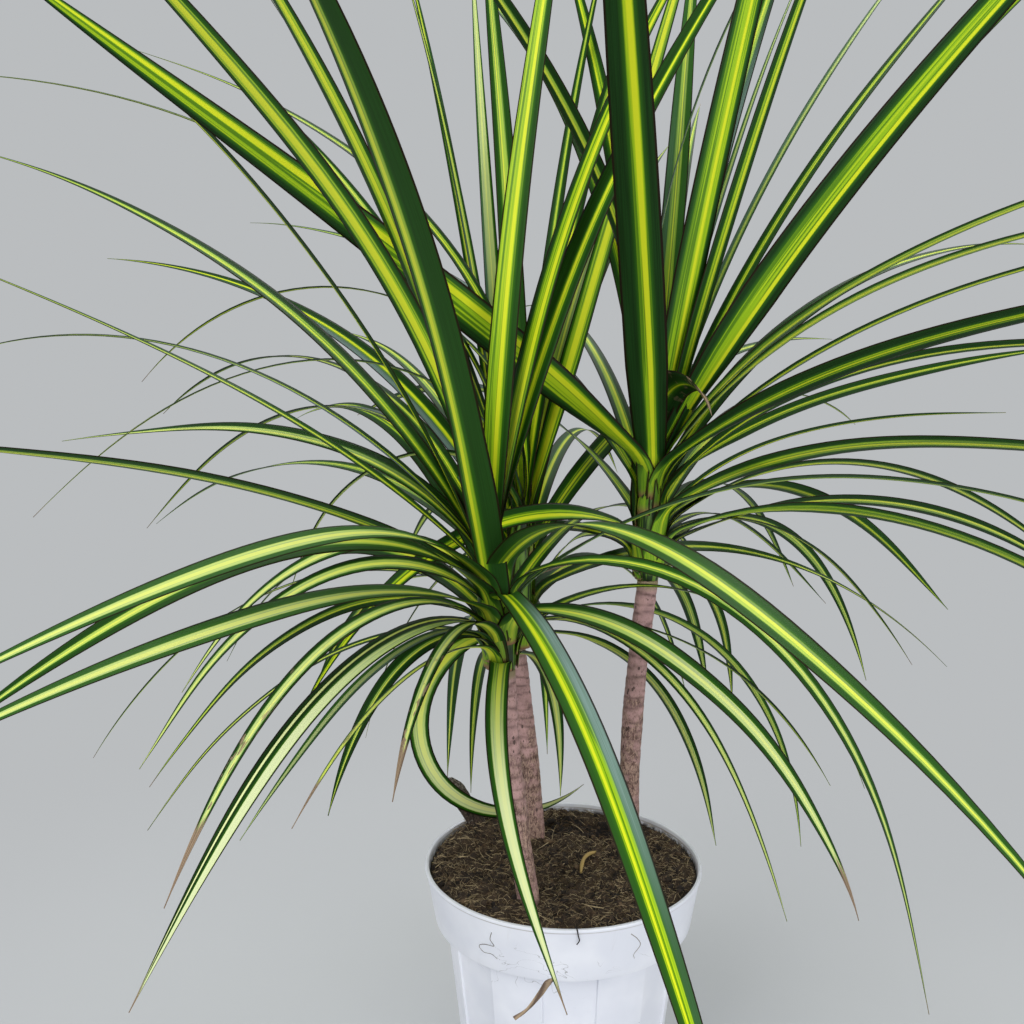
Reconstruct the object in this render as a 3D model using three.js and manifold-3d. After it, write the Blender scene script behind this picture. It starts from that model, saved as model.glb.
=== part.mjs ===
// Potted dragon tree: white fluted pot, peat, three cane stems, a dead stump and three leafy heads.
// Millimetres, +Z up, origin at the centre of the pot's base; -Y is the side seen in the photo.
import * as THREE from 'three';
import { mergeVertices } from 'three/examples/jsm/utils/BufferGeometryUtils.js';
import Module from 'manifold-3d';

const wasm = await Module();
wasm.setup();

// Pot
const POT_HEIGHT = 145;
const RIM_RADIUS = 85;
const BEAD_HEIGHT = 2.4;
const BEAD_DEPTH = 0.8;
const COLLAR_HEIGHT = 34;
const COLLAR_BOTTOM_RADIUS = 79;
const BODY_TOP_RADIUS = 72;
const BODY_BOTTOM_RADIUS = 60;
const WALL = 1.8;
const FLOOR = 3;
const PANELS = 14;
const PANEL_EDGE_DEG = 258;
const PANEL_DEPTH = 1.1;
const SEGMENTS = 42;

// Soil
const SOIL_DROP = 3;
const GAP = 0.3;
const SOIL_RINGS = 8;
const SOIL_SECTORS = 42;
const STEM_DEPTH = 88;

// Stems: base at the soil line, top of the bark, heart of the leafy head
const STEM_SIDES = 10;
const STEMS = {
  front_left: { base: [-22, -46, 143], top: [-36, -46, 279], heart: [-43, -46, 349], radius: 6.2, bow: -2 },
  back_left: { base: [-16, 37, 143], top: [-29, 37, 269], heart: [-25, 37, 351], radius: 6.0, bow: 1 },
  right: { base: [44, 32, 143], top: [54, 32, 314], heart: [55, 32, 383], radius: 6.3, bow: -3 },
};
const STUMP = { base: [-55, 48, 148], top: [-73, 48, 177], radius: 6.5 };

// Blades
const BLADE_THICKNESS = 0.8;
const TIP_WIDTH = 1.6;
const CLEARANCE = 7;
const OWN_CLEARANCE = 2.5;
const OWN_FREE_LENGTH = 90;
const CROWN_SIDES = 10;

// Leaves seen in the photo:
// height on the crown 0..1, heading, rise, droop (degrees), length, width, share of late droop, sway, twist (degrees)
const FRONT_LEFT_LEAVES = [
  [0.65, 287, 3, 48, 370, 17, 0.0, 0, 0],
  [0.10, 266, -10, 50, 210, 12, 0.6, 50, 0],
  [0.75, 287, 33, 80, 420, 21, 0.5, 27, 0],
  [0.40, 255, 65, 60, 470, 22, 0.8, 0, 20],
  [0.60, 338, 40, 118, 370, 14, 0.0, 5, -20],
  [0.25, 232, 33, 85, 285, 19, 0.0, 0, 0],
  [0.40, 313, 22, 95, 265, 21, 0.5, 20, -8],
  [0.60, 250, 35, 48, 375, 16, 0.2, -10, 20],
  [0.40, 245, 26, 32, 370, 18, 0.1, 0, 15],
  [0.50, 245, 38, 64, 345, 18, 0.4, -5, 30],
  [0.60, 225, 35, 30, 390, 15, 0.1, 0, -15],
  [0.75, 165, 62, 70, 290, 17, 0.0, 10, 20],
  [0.80, 210, 83, 44, 460, 19, 0.0, 0, -20],
  [0.70, 195, 81, 33, 470, 19, 0.5, 0, -20],
  [0.60, 175, 70, 35, 430, 15, 0.5, 0, -20],
  [0.70, 180, 48, 26, 355, 12, 0.0, 0, 8],
  [0.85, 170, 52, 80, 410, 10, 0.6, 0, 5],
  [0.70, 140, 72, 110, 345, 14, 0.5, 15, 0],
  [0.60, 140, 84, 130, 375, 14, 0.15, 20, 0],
  [0.50, 193, 68, 125, 215, 16, 0.1, 0, 20],
  [0.30, 195, 68, 125, 250, 16, 0.0, 0, 20],
  [0.25, 190, 46, 100, 235, 12, 0.0, 0, 20],
  [0.20, 200, 25, 80, 225, 10, 0.2, 0, 0],
  [0.15, 230, 40, 85, 200, 9, 0.0, -5, 0],
  [0.10, 241, 25, 60, 195, 8, 0.3, 5, -20],
  [0.05, 250, 60, 125, 175, 12, 0.3, 0, -10],
  [0.02, 225, 60, 130, 165, 12, 0.1, 0, 20],
  [0.10, 230, 60, 120, 270, 12, 0.1, 3, 10],
  [0.00, 105, 15, 95, 200, 10, 0.2, 0, 20],
  [0.00, 66, 12, 105, 165, 12, 0.2, 0, 0],
  [0.30, 10, 15, 75, 245, 11, 0.3, 0, 10],
  [0.90, 52, 88, 15, 455, 17, 0.2, 0, -15],
  [0.90, 26, 82, 34, 450, 18, 0.6, 0, -10],
];
const RIGHT_LEAVES = [
  [0.95, 258, 55, 15, 480, 25, 0.2, 0, 0],
  [1.00, 204, 40, 8, 440, 24, 0.0, 5, -60],
  [0.30, 280, 100, 165, 160, 24, 1.0, 20, 40],
  [0.95, 325, 80, 5, 490, 20, 0.3, 0, 40],
  [1.00, 330, 62, 20, 485, 22, 0.2, 0, 60],
  [0.85, 345, 65, 30, 490, 20, 0.5, 0, 40],
  [0.95, 310, 36, 34, 440, 16, 0.1, 0, 30],
  [0.35, 197, 34, 98, 270, 15, 0.25, 0, 40],
  [0.75, 350, 45, 36, 265, 14, 0.0, 0, 40],
  [0.60, 335, 58, 66, 400, 12, 0.0, 0, 25],
  [0.50, 305, 35, 45, 405, 14, 0.1, 0, 30],
  [0.40, 345, 60, 58, 225, 10, 0.0, 0, 20],
  [0.20, 20, 25, 62, 430, 15, 0.3, 0, 35],
  [0.30, 340, 31, 80, 440, 15, 0.1, 0, 35],
  [0.40, 25, 40, 83, 300, 17, 0.0, -5, 25],
  [0.30, 20, 32, 85, 250, 10, 0.0, -5, 0],
  [0.30, 50, 55, 105, 255, 13, 0.0, 0, -10],
  [0.25, 50, 33, 75, 240, 10, 0.0, -25, 0],
  [0.90, 340, 63, 50, 410, 11, 0.0, 0, 20],
  [0.85, 355, 62, 59, 430, 12, 0.1, 0, 25],
  [0.80, 345, 53, 50, 455, 10, 0.1, 0, 20],
  [0.95, 73, 65, -5, 460, 22, 0.2, 0, 30],
  [0.90, 22, 75, 30, 485, 11, 0.3, 0, 0],
  [0.95, 52, 70, 20, 480, 9, 0.3, 0, 30],
  [0.80, 195, 96, 58, 480, 16, 0.2, 0, -20],
  [0.90, 120, 84, 55, 490, 14, 0.4, 0, 10],
  [0.90, -12, 97, 58, 450, 12, 0.6, 0, -5],
  [0.60, 340, 80, 10, 480, 14, 0.3, 0, 30],
  [0.05, 60, -5, 60, 170, 12, 0.1, 0, 0],
  [0.05, 46, 10, 95, 170, 12, 0.2, 0, 0],
  [0.00, 190, 40, 60, 85, 5, 0.0, 0, 0],
];
const BACK_LEFT_LEAVES = [
  [0.90, 20, 73, 0, 460, 16, 0.4, 0, -30],
  [0.80, 45, 80, 30, 450, 14, 0.4, 0, -20],
  [0.30, 110, 75, -5, 445, 13, 0.1, 0, 0],
  [0.30, 130, 80, 10, 460, 10, 0.5, 5, 10],
  [0.30, 138, 80, 15, 455, 8, 0.6, 5, 0],
  [0.80, 62, 80, 20, 460, 10, 0.5, 0, 0],
  [1.00, 155, 98, 80, 445, 12, 0.1, 10, 20],
  [0.80, 180, 90, 90, 505, 11, 0.3, 0, 15],
  [1.00, 165, 106, 150, 375, 11, 0.3, 0, 0],
  [0.80, 195, 97, 145, 380, 12, 0.1, 0, 0],
  [0.70, 195, 108, 185, 235, 13, 0.2, 0, -20],
  [0.05, 12, 13, 90, 235, 14, 0.0, 5, 30],
  [0.12, 325, 30, 100, 265, 12, 0.0, 0, 0],
];
// One old leaf hangs down past the stump and curls back over the soil.
const CURLED_LEAF = [0.05, 200, 20, 217, 262, 13, 0.2, 20, 60];
// Leaves placed by rule behind those: how many, first heading, seed
const MORE = {
  front_left: { count: 10, first: 40, seed: 11 },
  right: { count: 15, first: 95, seed: 23 },
  back_left: { count: 20, first: 75, seed: 37 },
};
const BACK_FROM = 0;
const BACK_SPAN = 180;
const GOLDEN_ANGLE = 137.5;

const rad = (degrees) => degrees * Math.PI / 180;

function makeRandom(seed) {
  let state = seed * 7919 + 17;
  return () => {
    state = (state * 16807) % 2147483647;
    return state / 2147483647;
  };
}

function solidFrom(points, triangles) {
  const mesh = new wasm.Mesh({
    numProp: 3,
    vertProperties: new Float32Array(points.flat()),
    triVerts: new Uint32Array(triangles.flat()),
  });
  return new wasm.Manifold(mesh);
}

function solidFromGeometry(geometry) {
  geometry.deleteAttribute('normal');
  geometry.deleteAttribute('uv');
  const merged = mergeVertices(geometry, 1e-4);
  const mesh = new wasm.Mesh({
    numProp: 3,
    vertProperties: new Float32Array(merged.attributes.position.array),
    triVerts: new Uint32Array(merged.index.array),
  });
  return new wasm.Manifold(mesh);
}

function meshFromSolid(name, solid, color, roughness) {
  const mesh = solid.getMesh();
  const geometry = new THREE.BufferGeometry();
  const positions = [];
  for (let i = 0; i < mesh.vertProperties.length; i += mesh.numProp) {
    positions.push(mesh.vertProperties[i], mesh.vertProperties[i + 1], mesh.vertProperties[i + 2]);
  }
  geometry.setAttribute('position', new THREE.BufferAttribute(new Float32Array(positions), 3));
  geometry.setIndex(new THREE.BufferAttribute(new Uint32Array(mesh.triVerts), 1));
  geometry.computeVertexNormals();
  const material = new THREE.MeshStandardMaterial({ color, roughness, metalness: 0 });
  const result = new THREE.Mesh(geometry, material);
  result.name = name;
  return result;
}

// Solid of revolution about Z from [radius, height] pairs that start and end on the axis.
function turned(profile) {
  const points = profile.map(([r, z]) => new THREE.Vector2(r, z));
  const geometry = new THREE.LatheGeometry(points, SEGMENTS, Math.PI / 2);
  geometry.rotateX(Math.PI / 2);
  return solidFromGeometry(geometry);
}

// Rings of points joined into a closed body, with a centre point capping each end.
function lofted(rings, firstCentre, lastCentre) {
  const sides = rings[0].length;
  const points = rings.flat();
  const triangles = [];
  for (let r = 0; r + 1 < rings.length; r += 1) {
    for (let s = 0; s < sides; s += 1) {
      const next = (s + 1) % sides;
      const a = r * sides + s;
      const b = r * sides + next;
      const c = (r + 1) * sides + next;
      const d = (r + 1) * sides + s;
      triangles.push([a, b, c], [a, c, d]);
    }
  }
  const first = points.push(firstCentre) - 1;
  const last = points.push(lastCentre) - 1;
  const lastRing = (rings.length - 1) * sides;
  for (let s = 0; s < sides; s += 1) {
    const next = (s + 1) % sides;
    triangles.push([first, next, s], [last, lastRing + s, lastRing + next]);
  }
  return solidFrom(points, triangles);
}

// The outer skin of a fused solid, with any pocket sealed between its pieces filled in.
function outerBody(solid) {
  const bodies = solid.decompose();
  return bodies.reduce((best, body) => (body.volume() > best.volume() ? body : best));
}

const mix = (a, b, t) => a.map((value, i) => value + (b[i] - value) * t);

// Pot
function potSolid() {
  const collarBottom = POT_HEIGHT - COLLAR_HEIGHT;
  const outside = turned([
    [0, 0],
    [20, 0],
    [22, 2],
    [48, 2],
    [50, 0],
    [BODY_BOTTOM_RADIUS - 1.5, 0],
    [BODY_BOTTOM_RADIUS, 2.5],
    [BODY_TOP_RADIUS, collarBottom - 1],
    [COLLAR_BOTTOM_RADIUS - 0.6, collarBottom],
    [COLLAR_BOTTOM_RADIUS, collarBottom + 1.2],
    [RIM_RADIUS - BEAD_DEPTH, POT_HEIGHT - BEAD_HEIGHT],
    [RIM_RADIUS, POT_HEIGHT - BEAD_HEIGHT + 0.6],
    [RIM_RADIUS, POT_HEIGHT - 0.5],
    [RIM_RADIUS - 0.6, POT_HEIGHT],
    [0, POT_HEIGHT],
  ]);
  const inside = turned(insideProfile(0, POT_HEIGHT + 5));
  let pot = outside.subtract(inside);
  const step = 360 / PANELS;
  for (let panel = 0; panel < PANELS; panel += 2) {
    pot = pot.subtract(panelCutter(PANEL_EDGE_DEG + panel * step, PANEL_EDGE_DEG + (panel + 1) * step));
  }
  return pot;
}

// Inner face of the pot, drawn in by `inset`, up to height `top`.
function insideProfile(inset, top) {
  const shoulder = POT_HEIGHT - COLLAR_HEIGHT + 1.2 + WALL;
  const rimInside = RIM_RADIUS - BEAD_DEPTH - WALL;
  const shoulderInside = COLLAR_BOTTOM_RADIUS - WALL;
  const slope = (rimInside - shoulderInside) / (POT_HEIGHT - BEAD_HEIGHT - shoulder);
  const bodyWall = WALL + PANEL_DEPTH + BODY_TOP_RADIUS * (1 - Math.cos(Math.PI / PANELS));
  return [
    [0, FLOOR + 2 + inset],
    [BODY_BOTTOM_RADIUS - bodyWall - inset, FLOOR + 2 + inset],
    [BODY_TOP_RADIUS - bodyWall - inset, shoulder - WALL + inset],
    [shoulderInside - inset, shoulder + inset],
    [shoulderInside - inset + slope * (top - shoulder), top],
    [0, top],
  ];
}

// Flat-faced wedge that leaves one recessed panel on the body between two angles.
function panelCutter(fromDeg, toDeg) {
  const low = 5;
  const high = POT_HEIGHT - COLLAR_HEIGHT - 1.6;
  const ring = (z) => {
    const body = BODY_BOTTOM_RADIUS
      + (BODY_TOP_RADIUS - BODY_BOTTOM_RADIUS) * (z - 2.5) / (POT_HEIGHT - COLLAR_HEIGHT - 3.5);
    const at = (radius, deg) => [radius * Math.cos(rad(deg)), radius * Math.sin(rad(deg)), z];
    const inner = body - PANEL_DEPTH;
    return [at(inner, fromDeg), at(body + 9, fromDeg), at(body + 9, toDeg), at(inner, toDeg)];
  };
  const bottom = ring(low);
  const top = ring(high);
  return lofted([bottom, top], mix(bottom[0], bottom[2], 0.5), mix(top[0], top[2], 0.5));
}

// Soil
function soilHeight(x, y) {
  const mound = 5 * Math.exp(-((x + 54) ** 2 + (y - 44) ** 2) / 500);
  const lump = 6 * Math.exp(-((x + 40) ** 2 + (y - 56) ** 2) / 90);
  const dip = -6 * Math.exp(-((x - 34) ** 2 + (y - 52) ** 2) / 420);
  const low = -5 * Math.exp(-((x + 2) ** 2 + (y + 14) ** 2) / 160);
  const rough = 1.3 * Math.sin(x * 0.31 + 1.3) * Math.sin(y * 0.27 + 0.4)
    + 0.9 * Math.sin(x * 0.71 - y * 0.43) + 0.6 * Math.sin(x * 0.37 + y * 0.93 + 2);
  return POT_HEIGHT - SOIL_DROP + mound + lump + dip + low + rough;
}

function soilSolid(holes) {
  const edgeHeight = POT_HEIGHT - SOIL_DROP - 2;
  const profile = insideProfile(GAP, edgeHeight);
  const rings = [];
  const circle = (radius, height) => {
    const ring = [];
    for (let s = 0; s < SOIL_SECTORS; s += 1) {
      const angle = 2 * Math.PI * s / SOIL_SECTORS;
      const x = radius * Math.cos(angle);
      const y = radius * Math.sin(angle);
      ring.push([x, y, height === null ? soilHeight(x, y) : height]);
    }
    return ring;
  };
  for (let p = 1; p < profile.length - 2; p += 1) {
    rings.push(circle(profile[p][0], profile[p][1]));
  }
  const edge = profile[profile.length - 2][0];
  rings.push(circle(edge, edgeHeight));
  for (let r = 1; r < SOIL_RINGS; r += 1) {
    rings.push(circle((edge - 2) * (1 - (r - 0.85) / SOIL_RINGS), null));
  }
  const soil = lofted(rings, [0, 0, profile[0][1]], [0, 0, soilHeight(0, 0)]);
  return holes.reduce((body, hole) => body.subtract(hole), soil);
}

// Stems
function stemRings(stem, extra, low, high) {
  const steps = 9;
  const down = (stem.base[2] - low) / (stem.top[2] - stem.base[2]);
  const rings = [];
  let first = null;
  let last = null;
  for (let k = 0; k <= steps; k += 1) {
    const t = -down + (high + down) * k / steps;
    const centre = mix(stem.base, stem.top, t);
    const above = Math.min(Math.max(t, 0), 1);
    centre[0] += stem.bow * Math.sin(Math.PI * above);
    const swell = 1 + 0.03 * Math.sin(k * 2.4) + 0.05 * (1 - above) + 0.06 * Math.max(0, t - 0.85);
    const ring = [];
    for (let s = 0; s < STEM_SIDES; s += 1) {
      const angle = 2 * Math.PI * s / STEM_SIDES;
      const radius = stem.radius * swell + extra;
      ring.push([centre[0] + radius * Math.cos(angle), centre[1] + radius * Math.sin(angle), centre[2]]);
    }
    rings.push(ring);
    first = first ?? centre;
    last = centre;
  }
  return [rings, first, last];
}

function stumpSolid(extra, up) {
  const rings = [];
  const low = mix(STUMP.base, STUMP.top, -1.2);
  const high = mix(STUMP.base, STUMP.top, up);
  const steps = 6;
  for (let k = 0; k <= steps; k += 1) {
    const centre = mix(low, high, k / steps);
    const ring = [];
    for (let s = 0; s < STEM_SIDES; s += 1) {
      const angle = 2 * Math.PI * s / STEM_SIDES;
      const radius = STUMP.radius * (1 + 0.08 * Math.sin(3 * angle + k)) * (k === steps ? 0.8 : 1) + extra;
      ring.push([centre[0] + radius * Math.cos(angle), centre[1] + radius * Math.sin(angle), centre[2]]);
    }
    rings.push(ring);
  }
  return lofted(rings, low, high);
}

// Blades
function bladeWidth(t, width) {
  return Math.max(TIP_WIDTH, width * Math.min(1, 0.42 + 2.4 * t) * (1 - t ** 2.6));
}

// Long or strongly curved blades get more steps.
function bladeSteps(leaf) {
  return Math.max(4, Math.round(2 + leaf[3] / 40 + leaf[4] / 160));
}

// Stations along a blade: centre, across and upward directions, width.
function bladeStations(stem, leaf) {
  const [up, heading, rise, droop, length, width, late, sway, twist] = leaf;
  const steps = bladeSteps(leaf);
  const root = mix(stem.top, stem.heart, up);
  root[2] += 3 * (1 - up);
  const stations = [];
  const point = [...root];
  const angles = (t) => [
    rad(rise - droop * ((1 - late) * t * (2 - t) + late * t * t)),
    rad(heading + sway * t * t),
  ];
  const fine = 4;
  for (let k = 0; k <= steps; k += 1) {
    const t = k / steps;
    const [pitch, yaw] = angles(t);
    const roll = rad(twist * Math.min(1, 4 * t));
    const level = [-Math.sin(yaw), Math.cos(yaw), 0];
    const upward = [-Math.sin(pitch) * Math.cos(yaw), -Math.sin(pitch) * Math.sin(yaw), Math.cos(pitch)];
    const side = level.map((value, i) => value * Math.cos(roll) - upward[i] * Math.sin(roll));
    const normal = level.map((value, i) => value * Math.sin(roll) + upward[i] * Math.cos(roll));
    stations.push({ point: [...point], side, normal, width: bladeWidth(t, width) });
    for (let j = 0; j < fine && k < steps; j += 1) {
      const [p, q] = angles((k + (j + 0.5) / fine) / steps);
      point[0] += Math.cos(p) * Math.cos(q) * length / steps / fine;
      point[1] += Math.cos(p) * Math.sin(q) * length / steps / fine;
      point[2] += Math.sin(p) * length / steps / fine;
    }
  }
  return stations;
}

function bladeSolid(stations) {
  const half = BLADE_THICKNESS / 2;
  const rings = stations.map(({ point, side, normal, width }) => {
    const corner = (s, n) => point.map((value, i) => value + s * side[i] * width / 2 + n * normal[i] * half);
    return [corner(1, 1), corner(-1, 1), corner(-1, -1), corner(1, -1)];
  });
  const points = rings.flat();
  const triangles = [[0, 3, 2], [0, 2, 1]];
  for (let r = 0; r + 1 < rings.length; r += 1) {
    const a = r * 4;
    const b = a + 4;
    triangles.push([a, a + 1, b + 1], [a, b + 1, b]);
    triangles.push([a + 1, a + 2, b + 2], [a + 1, b + 2, b + 1]);
    triangles.push([a + 2, a + 3, b + 2], [a + 3, b + 3, b + 2]);
    triangles.push([a + 3, a, b], [a + 3, b, b + 3]);
  }
  const end = (rings.length - 1) * 4;
  triangles.push([end, end + 1, end + 2], [end, end + 2, end + 3]);
  return solidFrom(points, triangles);
}

// Three lines along a blade, as segments, for the clearance rule.
function bladeLines(stations, length) {
  const lines = [];
  for (const across of [-0.5, 0, 0.5]) {
    const points = stations.map(({ point, side, width }) => (
      point.map((value, i) => value + side[i] * width * across)
    ));
    for (let k = 0; k + 1 < points.length; k += 1) {
      lines.push({ a: points[k], b: points[k + 1], along: length * k / (points.length - 1) });
    }
  }
  return lines;
}

const clamp01 = (value) => Math.min(Math.max(value, 0), 1);
const minus = (a, b) => [a[0] - b[0], a[1] - b[1], a[2] - b[2]];
const dot = (a, b) => a[0] * b[0] + a[1] * b[1] + a[2] * b[2];

// Closest distance between two segments.
function segmentDistance(p, q) {
  const d1 = minus(p.b, p.a);
  const d2 = minus(q.b, q.a);
  const r = minus(p.a, q.a);
  const a = dot(d1, d1);
  const e = dot(d2, d2);
  const f = dot(d2, r);
  const c = dot(d1, r);
  const b = dot(d1, d2);
  const denominator = a * e - b * b;
  let s = denominator > 1e-9 ? clamp01((b * f - c * e) / denominator) : 0;
  const t = clamp01((b * s + f) / e);
  s = clamp01((b * t - c) / a);
  const gap = [0, 1, 2].map((i) => p.a[i] + d1[i] * s - q.a[i] - d2[i] * t);
  return Math.sqrt(dot(gap, gap));
}

// Everything a blade keeps clear of: other heads' blades, stems and crowns, the pot and the soil.
function isClear(lines, name, rest, placed, rods) {
  for (const line of lines) {
    const middle = mix(line.a, line.b, 0.5);
    for (const point of [line.a, middle, line.b]) {
      const radius = Math.hypot(point[0], point[1]);
      if (point[2] < 12) {
        return false;
      }
      if (radius < RIM_RADIUS + 6 && point[2] < POT_HEIGHT + rest) {
        return false;
      }
      if (radius < RIM_RADIUS && point[2] < soilHeight(point[0], point[1]) + rest) {
        return false;
      }
    }
    for (const rod of rods) {
      if (rod.name === name && (rod.kind === 'crown' || line.along < 60)) {
        continue;
      }
      if (segmentDistance(line, rod) < rod.radius) {
        return false;
      }
    }
    for (const other of placed) {
      const own = other.name === name;
      if (own && line.along < OWN_FREE_LENGTH) {
        continue;
      }
      for (const segment of other.lines) {
        if (own && segment.along < OWN_FREE_LENGTH) {
          continue;
        }
        if (segmentDistance(line, segment) < (own ? OWN_CLEARANCE : CLEARANCE)) {
          return false;
        }
      }
    }
  }
  return true;
}

// Small turns and lifts tried in order until a blade hangs clear.
function* bends() {
  yield [0, 0];
  for (const reach of [1, 2, 3, 4, 5, 6, 7]) {
    for (const [turn, lift] of [[1, 0], [-1, 0], [0, 1], [0, -1], [1, 1], [-1, 1], [1, -1], [-1, -1]]) {
      yield [turn * reach * 2, lift * reach * 1.5];
    }
  }
}

function moreLeaves(rule) {
  const random = makeRandom(rule.seed);
  const leaves = [];
  for (let i = 0; i < rule.count; i += 1) {
    const age = (i + 0.5) / rule.count;
    const turn = (rule.first + i * GOLDEN_ANGLE) % 360;
    const heading = BACK_FROM + (turn / 360) * BACK_SPAN + (random() - 0.5) * 10;
    const rise = 84 - 62 * age + (random() - 0.5) * 12;
    const droop = 16 + 96 * age + (random() - 0.5) * 22;
    const length = 470 - 190 * age * age + (random() - 0.5) * 60;
    const width = 16 + (random() - 0.5) * 6 - 3 * age;
    const twist = (random() - 0.5) * 70;
    leaves.push([0.95 - 0.9 * age, heading, rise, droop, length, width, 0.2, 0, twist]);
  }
  return leaves;
}

function placeLeaves() {
  const rods = [];
  for (const [name, stem] of Object.entries(STEMS)) {
    rods.push({ name, kind: 'stem', a: stem.base, b: stem.top, radius: stem.radius + 5.5 });
    rods.push({ name, kind: 'crown', a: stem.top, b: stem.heart, radius: 19 });
  }
  rods.push({ name: 'stump', kind: 'stem', a: STUMP.base, b: STUMP.top, radius: STUMP.radius + 5.5 });
  const placed = [];
  const tryLeaf = (name, leaf) => {
    for (const [turn, lift] of bends()) {
      const bent = [leaf[0], leaf[1] + turn, leaf[2] + lift, ...leaf.slice(3)];
      const stations = bladeStations(STEMS[name], bent);
      const lines = bladeLines(stations, bent[4]);
      if (isClear(lines, name, bent[3] > 180 ? 1.5 : 5, placed, rods)) {
        placed.push({ name, stations, lines, leaf: bent });
        return;
      }
    }
  };
  tryLeaf('back_left', CURLED_LEAF);
  FRONT_LEFT_LEAVES.forEach((leaf) => tryLeaf('front_left', leaf));
  RIGHT_LEAVES.forEach((leaf) => tryLeaf('right', leaf));
  BACK_LEFT_LEAVES.forEach((leaf) => tryLeaf('back_left', leaf));
  for (const [name, rule] of Object.entries(MORE)) {
    moreLeaves(rule).forEach((leaf) => tryLeaf(name, leaf));
  }
  return placed;
}

// Green crown that the blades grow from: clasping bases round the top of the stem.
function crownSolid(stem) {
  const profile = [[0, 6.4], [0.06, 8.6], [0.35, 10.4], [0.7, 9.6], [0.95, 7], [1.15, 3]];
  const rings = profile.map(([t, radius]) => {
    const centre = mix(stem.top, stem.heart, t);
    const ring = [];
    for (let s = 0; s < CROWN_SIDES; s += 1) {
      const angle = 2 * Math.PI * s / CROWN_SIDES;
      ring.push([
        centre[0] + radius * Math.cos(angle),
        centre[1] + radius * Math.sin(angle),
        centre[2] + GAP,
      ]);
    }
    return ring;
  });
  const first = [...stem.top];
  first[2] += GAP;
  const last = mix(stem.top, stem.heart, 1.2);
  last[2] += GAP;
  return lofted(rings, first, last);
}

const group = new THREE.Group();
group.name = 'potted_dragon_tree';
group.add(meshFromSolid('pot', potSolid(), '#e4e7ef', 0.35));

const holes = Object.values(STEMS).map((stem) => lofted(...stemRings(stem, GAP, stem.base[2] - STEM_DEPTH - 0.4, 1)));
holes.push(stumpSolid(GAP, 1));
group.add(meshFromSolid('soil', soilSolid(holes), '#3a2a1e', 1));

for (const [name, stem] of Object.entries(STEMS)) {
  const bark = lofted(...stemRings(stem, 0, stem.base[2] - STEM_DEPTH, 1));
  group.add(meshFromSolid(`stem_${name}`, bark, '#9a7468', 0.8));
}
group.add(meshFromSolid('dead_stump', stumpSolid(0, 1), '#2c211a', 0.95));

const placed = placeLeaves();
for (const [name, stem] of Object.entries(STEMS)) {
  const blades = placed.filter((leaf) => leaf.name === name).map((leaf) => bladeSolid(leaf.stations));
  const head = outerBody(wasm.Manifold.union([crownSolid(stem), ...blades]).simplify(0.08));
  group.add(meshFromSolid(`leaves_${name}`, head, '#5f9a2c', 0.45));
}

export default group;
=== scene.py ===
import math
import random

import bmesh
import bpy
import numpy as np
from mathutils import Matrix, Vector, noise


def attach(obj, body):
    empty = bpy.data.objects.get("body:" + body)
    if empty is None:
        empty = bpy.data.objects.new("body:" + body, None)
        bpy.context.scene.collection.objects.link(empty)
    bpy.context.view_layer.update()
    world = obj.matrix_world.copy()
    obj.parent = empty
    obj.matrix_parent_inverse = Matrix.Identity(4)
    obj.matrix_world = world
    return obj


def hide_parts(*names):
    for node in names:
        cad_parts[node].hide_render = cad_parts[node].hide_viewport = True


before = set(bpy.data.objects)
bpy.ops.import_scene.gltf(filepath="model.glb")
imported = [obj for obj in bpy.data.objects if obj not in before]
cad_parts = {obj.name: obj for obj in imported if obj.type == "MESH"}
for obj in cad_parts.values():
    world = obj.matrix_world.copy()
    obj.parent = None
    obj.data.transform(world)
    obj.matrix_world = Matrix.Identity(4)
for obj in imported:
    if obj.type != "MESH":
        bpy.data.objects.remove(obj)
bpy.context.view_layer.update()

bl_info = {
    "name": "Potted Dragon Tree",
    "version": (1, 0, 0),
    "blender": (4, 5, 0),
    "location": "View3D > Sidebar > Dragon Tree",
    "description": "Builds a potted dragon tree with striped arching leaves, ringed canes and peat",
    "category": "Add Mesh",
}

MM = 0.001
PIECE_BODY = "root"

# Pot, in millimetres as in the solids
POT_HEIGHT = 145.0
RIM_RADIUS = 85.0
BEAD_HEIGHT = 2.4
BEAD_DEPTH = 0.8
COLLAR_HEIGHT = 34.0
COLLAR_BOTTOM_RADIUS = 79.0
BODY_TOP_RADIUS = 72.0
BODY_BOTTOM_RADIUS = 60.0
WALL = 1.8
FLOOR = 3.0
PANELS = 14
PANEL_EDGE_DEG = 258.0
PANEL_DEPTH = 1.1
SHARP_DEG = 28.0
# Radii and heights of the outside: the foot from the floor, the shoulder from
# the collar's lower edge, the bead from its groove, and the lip from the top
FOOT_PROFILE = (
    (20.0, 0), (20.8, 0.6), (22.0, 2.0), (48.0, 2.0), (49.2, 0.6), (50.0, 0),
    (58.0, 0), (59.3, 0.7), (60.0, 2.5),
)
FOOT_HEIGHT = 2.5
BODY_HEIGHTS = (4.6, 5.0, 5.8, 30, 55, 80, 100, 108.4, 109.2, 109.6)
SHOULDER_HEIGHT = 1.2
SHOULDER_PROFILE = ((72.0, -1.0), (72.6, -0.5), (78.0, -0.1), (78.7, 0.4), (79.0, SHOULDER_HEIGHT))
COLLAR_HEIGHTS = (118.0, 126.0, 134.0)
# Heights between which the panels lie, and the share of a panel that its step takes
PANEL_HEIGHTS = (4.8, 109.4)
PANEL_STEP = 0.012
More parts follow.
